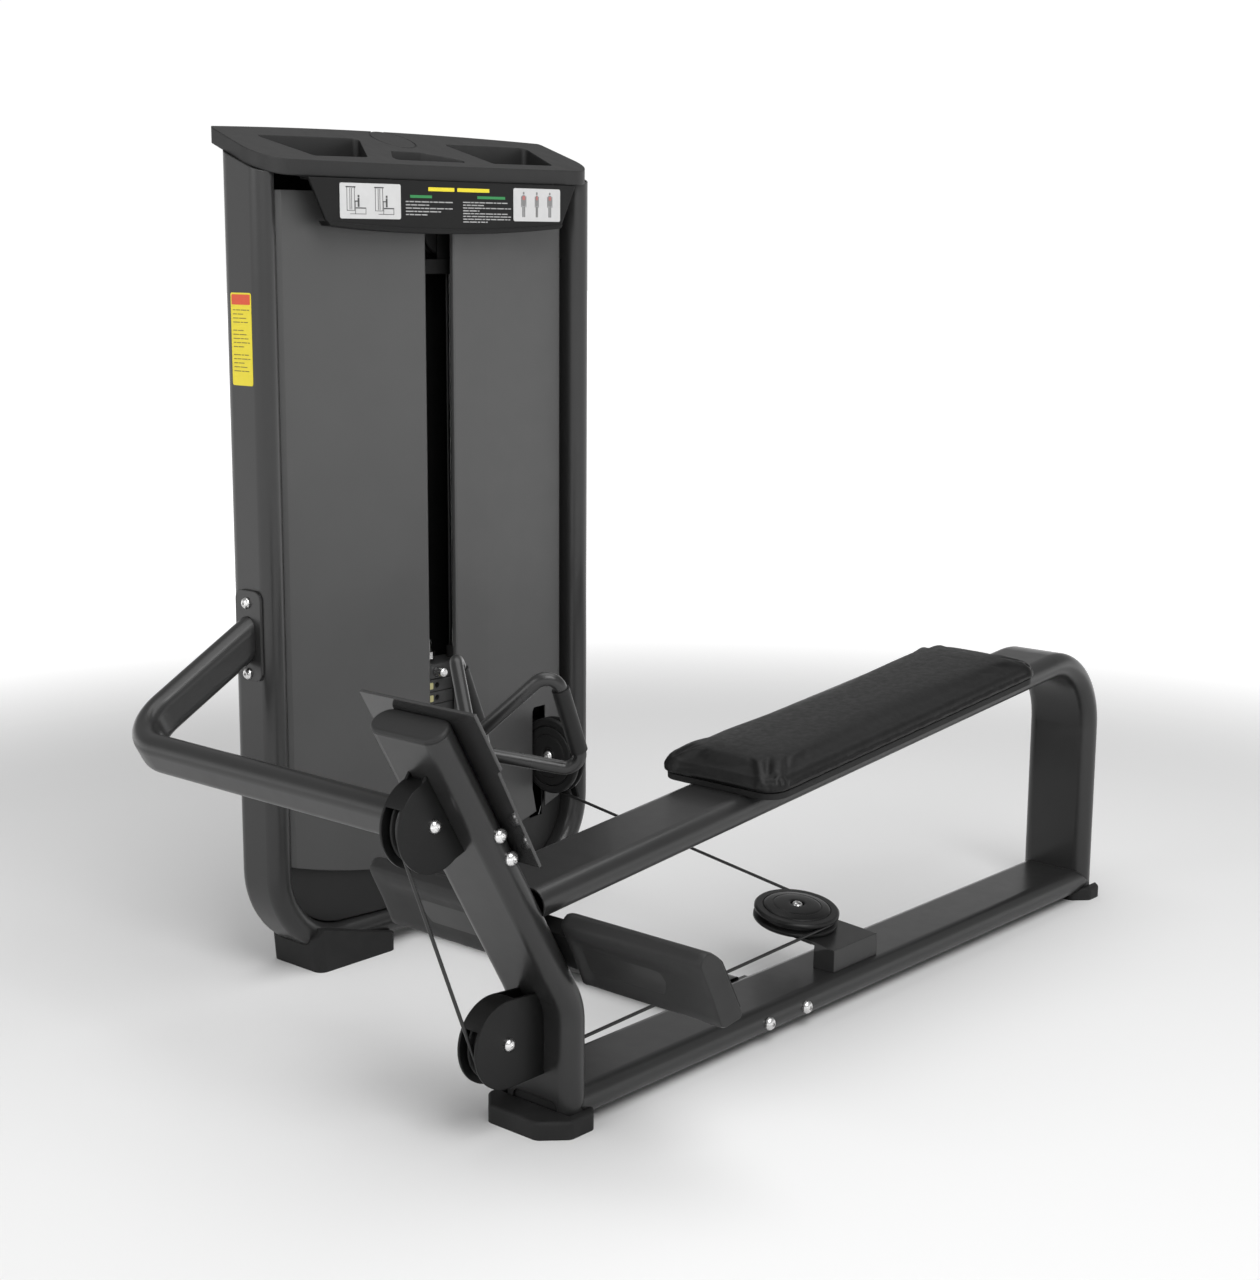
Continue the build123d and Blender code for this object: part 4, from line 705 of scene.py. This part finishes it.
def foot_rest_block(side):
    """Foot rest with a rolled lip, a bulging band under it and a broad shallow hollow."""
    name = "foot_rest_left" if side < 0 else "foot_rest_right"
    low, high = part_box(name)
    start, end = low[0], high[0]
    inward = Vector((0, 0.9, 0.434))       # square to the front face
    points, faces = [], []
    shift = low[1] - min(y for y, _ in REST_SECTION)
    count = len(REST_SECTION)
    for i in range(REST_STATIONS + 1):
        part = i / REST_STATIONS
        x = start + (end - start) * part
        near = min(x - start, end - x)
        from_outer = x - start if side < 0 else end - x
        press = min(max((near - 0.003) / 0.022, 0.0), 1.0, max(from_outer / 0.110, 0.0))
        press = press * press * (3 - 2 * press)
        tuck = 0.0022 * (1 - min(near / 0.006, 1.0)) ** 2
        for j, (y, z) in enumerate(REST_SECTION):
            at = Vector((x, y + shift, z)) + inward * (REST_PRESS.get(j, 0.0) * press)
            core = Vector((x, REST_MIDDLE[0] + shift, REST_MIDDLE[1]))
            points.append(at + (core - at).normalized() * tuck)
    for i in range(REST_STATIONS):
        for j in range(count):
            k = (j + 1) % count
            faces.append([i * count + j, i * count + k, (i + 1) * count + k, (i + 1) * count + j])
    faces.append(list(range(count))[::-1])
    faces.append([REST_STATIONS * count + j for j in range(count)])
    block = add_mesh(name + "_block", points, faces, "moulding", "frame")
    block.data.set_sharp_from_angle(angle=math.radians(50))
    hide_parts(name)


# ---- light, floor and camera -------------------------------------------------------------
def floor():
    """Pale floor with painted shade, darker around the machine, and a painted glow far from it."""
    size = 40.0
    points = [(-size, -size, 0), (size, -size, 0), (size, size, 0), (-size, size, 0)]
    mesh = bpy.data.meshes.new("floor")
    mesh.from_pydata(points, [], [[0, 1, 2, 3]])
    piece = bpy.data.objects.new("floor", mesh)
    bpy.context.collection.objects.link(piece)
    finish = Finish("pale_floor", specular=0.1)
    mapping = finish.tree.nodes.new("ShaderNodeMapping")
    mapping.inputs["Scale"].default_value = (0.16, 0.16, 0.16)
    finish.tree.links.new(finish.place, mapping.inputs["Vector"])
    # painted shade and glow: a spherical gradient about the machine drives both the floor's darkening
    # and its emission
    painted_shade_and_glow_ball = finish.tree.nodes.new("ShaderNodeTexGradient")
    painted_shade_and_glow_ball.gradient_type = "SPHERICAL"
    finish.tree.links.new(mapping.outputs["Vector"], painted_shade_and_glow_ball.inputs["Vector"])
    # painted shade: the floor colour falls from 0.97 far away to 0.82 near the machine
    finish.colour(painted_shade_and_glow_ball.outputs["Fac"], grey(0.97), grey(0.82))
    # painted glow: the floor far from the machine emits light, although it is no lamp
    painted_glow = finish.tree.nodes.new("ShaderNodeMapRange")
    painted_glow.interpolation_type = "SMOOTHSTEP"
    painted_glow.inputs["From Min"].default_value = 0.66
    painted_glow.inputs["From Max"].default_value = 0.25
    painted_glow.inputs["To Max"].default_value = 0.9
    finish.tree.links.new(painted_shade_and_glow_ball.outputs["Fac"], painted_glow.inputs["Value"])
    finish.tree.links.new(painted_glow.outputs["Result"], finish.shader.inputs["Emission Strength"])
    finish.shader.inputs["Emission Color"].default_value = (1, 1, 1, 1)
    finish.roughness(finish.noise(3.0, 2.0), 0.75, 0.8)
    mesh.materials.append(finish.material)


def area_light(name, place, target, size, power):
    light = bpy.data.lights.new(name, "AREA")
    light.shape = "RECTANGLE"
    light.size, light.size_y = size
    light.energy = power
    holder = bpy.data.objects.new(name, light)
    holder.location = place
    holder.rotation_euler = (Vector(target) - Vector(place)).to_track_quat("-Z", "Y").to_euler()
    bpy.context.collection.objects.link(holder)


def studio():
    """White near the horizon, dimmer overhead, with large soft lamps above."""
    world = bpy.data.worlds.new("studio")
    world.use_nodes = True
    tree = world.node_tree
    place = tree.nodes.new("ShaderNodeTexCoord")
    split = tree.nodes.new("ShaderNodeSeparateXYZ")
    fade = tree.nodes.new("ShaderNodeMapRange")
    fade.interpolation_type = "SMOOTHSTEP"
    fade.inputs["From Min"].default_value = 0.11
    fade.inputs["From Max"].default_value = 0.30
    fade.inputs["To Min"].default_value = 1.02
    fade.inputs["To Max"].default_value = 0.34
    tree.links.new(place.outputs["Generated"], split.inputs["Vector"])
    tree.links.new(split.outputs["Z"], fade.inputs["Value"])
    tree.links.new(fade.outputs["Result"], tree.nodes["Background"].inputs["Strength"])
    tree.nodes["Background"].inputs["Color"].default_value = (1, 1, 1, 1)
    bpy.context.scene.world = world
    area_light("key", (3.0, -1.6, 3.8), (0, 0, 0.5), (2.6, 2.6), 110)
    area_light("fill", (-0.5, -4.5, 2.6), (0, 0, 0.6), (3.0, 2.0), 40)
    area_light("top", (0.4, 0.3, 4.6), (0.2, 0, 0), (4.0, 4.0), 95)


def camera():
    right = Vector((math.cos(CAMERA_TURN), math.sin(CAMERA_TURN), 0))
    ahead = Vector((-math.sin(CAMERA_TURN) * math.cos(CAMERA_DIP),
                    math.cos(CAMERA_TURN) * math.cos(CAMERA_DIP), -math.sin(CAMERA_DIP)))
    above = right.cross(ahead)
    rolled_right = right * math.cos(CAMERA_ROLL) + above * math.sin(CAMERA_ROLL)
    rolled_above = above * math.cos(CAMERA_ROLL) - right * math.sin(CAMERA_ROLL)
    turn = Matrix((rolled_right, rolled_above, -ahead)).transposed()
    lens = bpy.data.cameras.new("camera")
    lens.lens = CAMERA_LENS
    lens.sensor_width = 36.0
    holder = bpy.data.objects.new("camera", lens)
    holder.matrix_world = Matrix.Translation(CAMERA_PLACE) @ turn.to_4x4()
    bpy.context.collection.objects.link(holder)
    bpy.context.scene.camera = holder


dress_cad_nodes()
seat_cushion()
taut_runs()
placard_prints()
tower_sticker()
plate_squares()
pulley_covers()
for side in (-1, 1):
    foot_rest_block(side)
floor()
studio()
camera()
bpy.context.scene.view_settings.view_transform = "Standard"
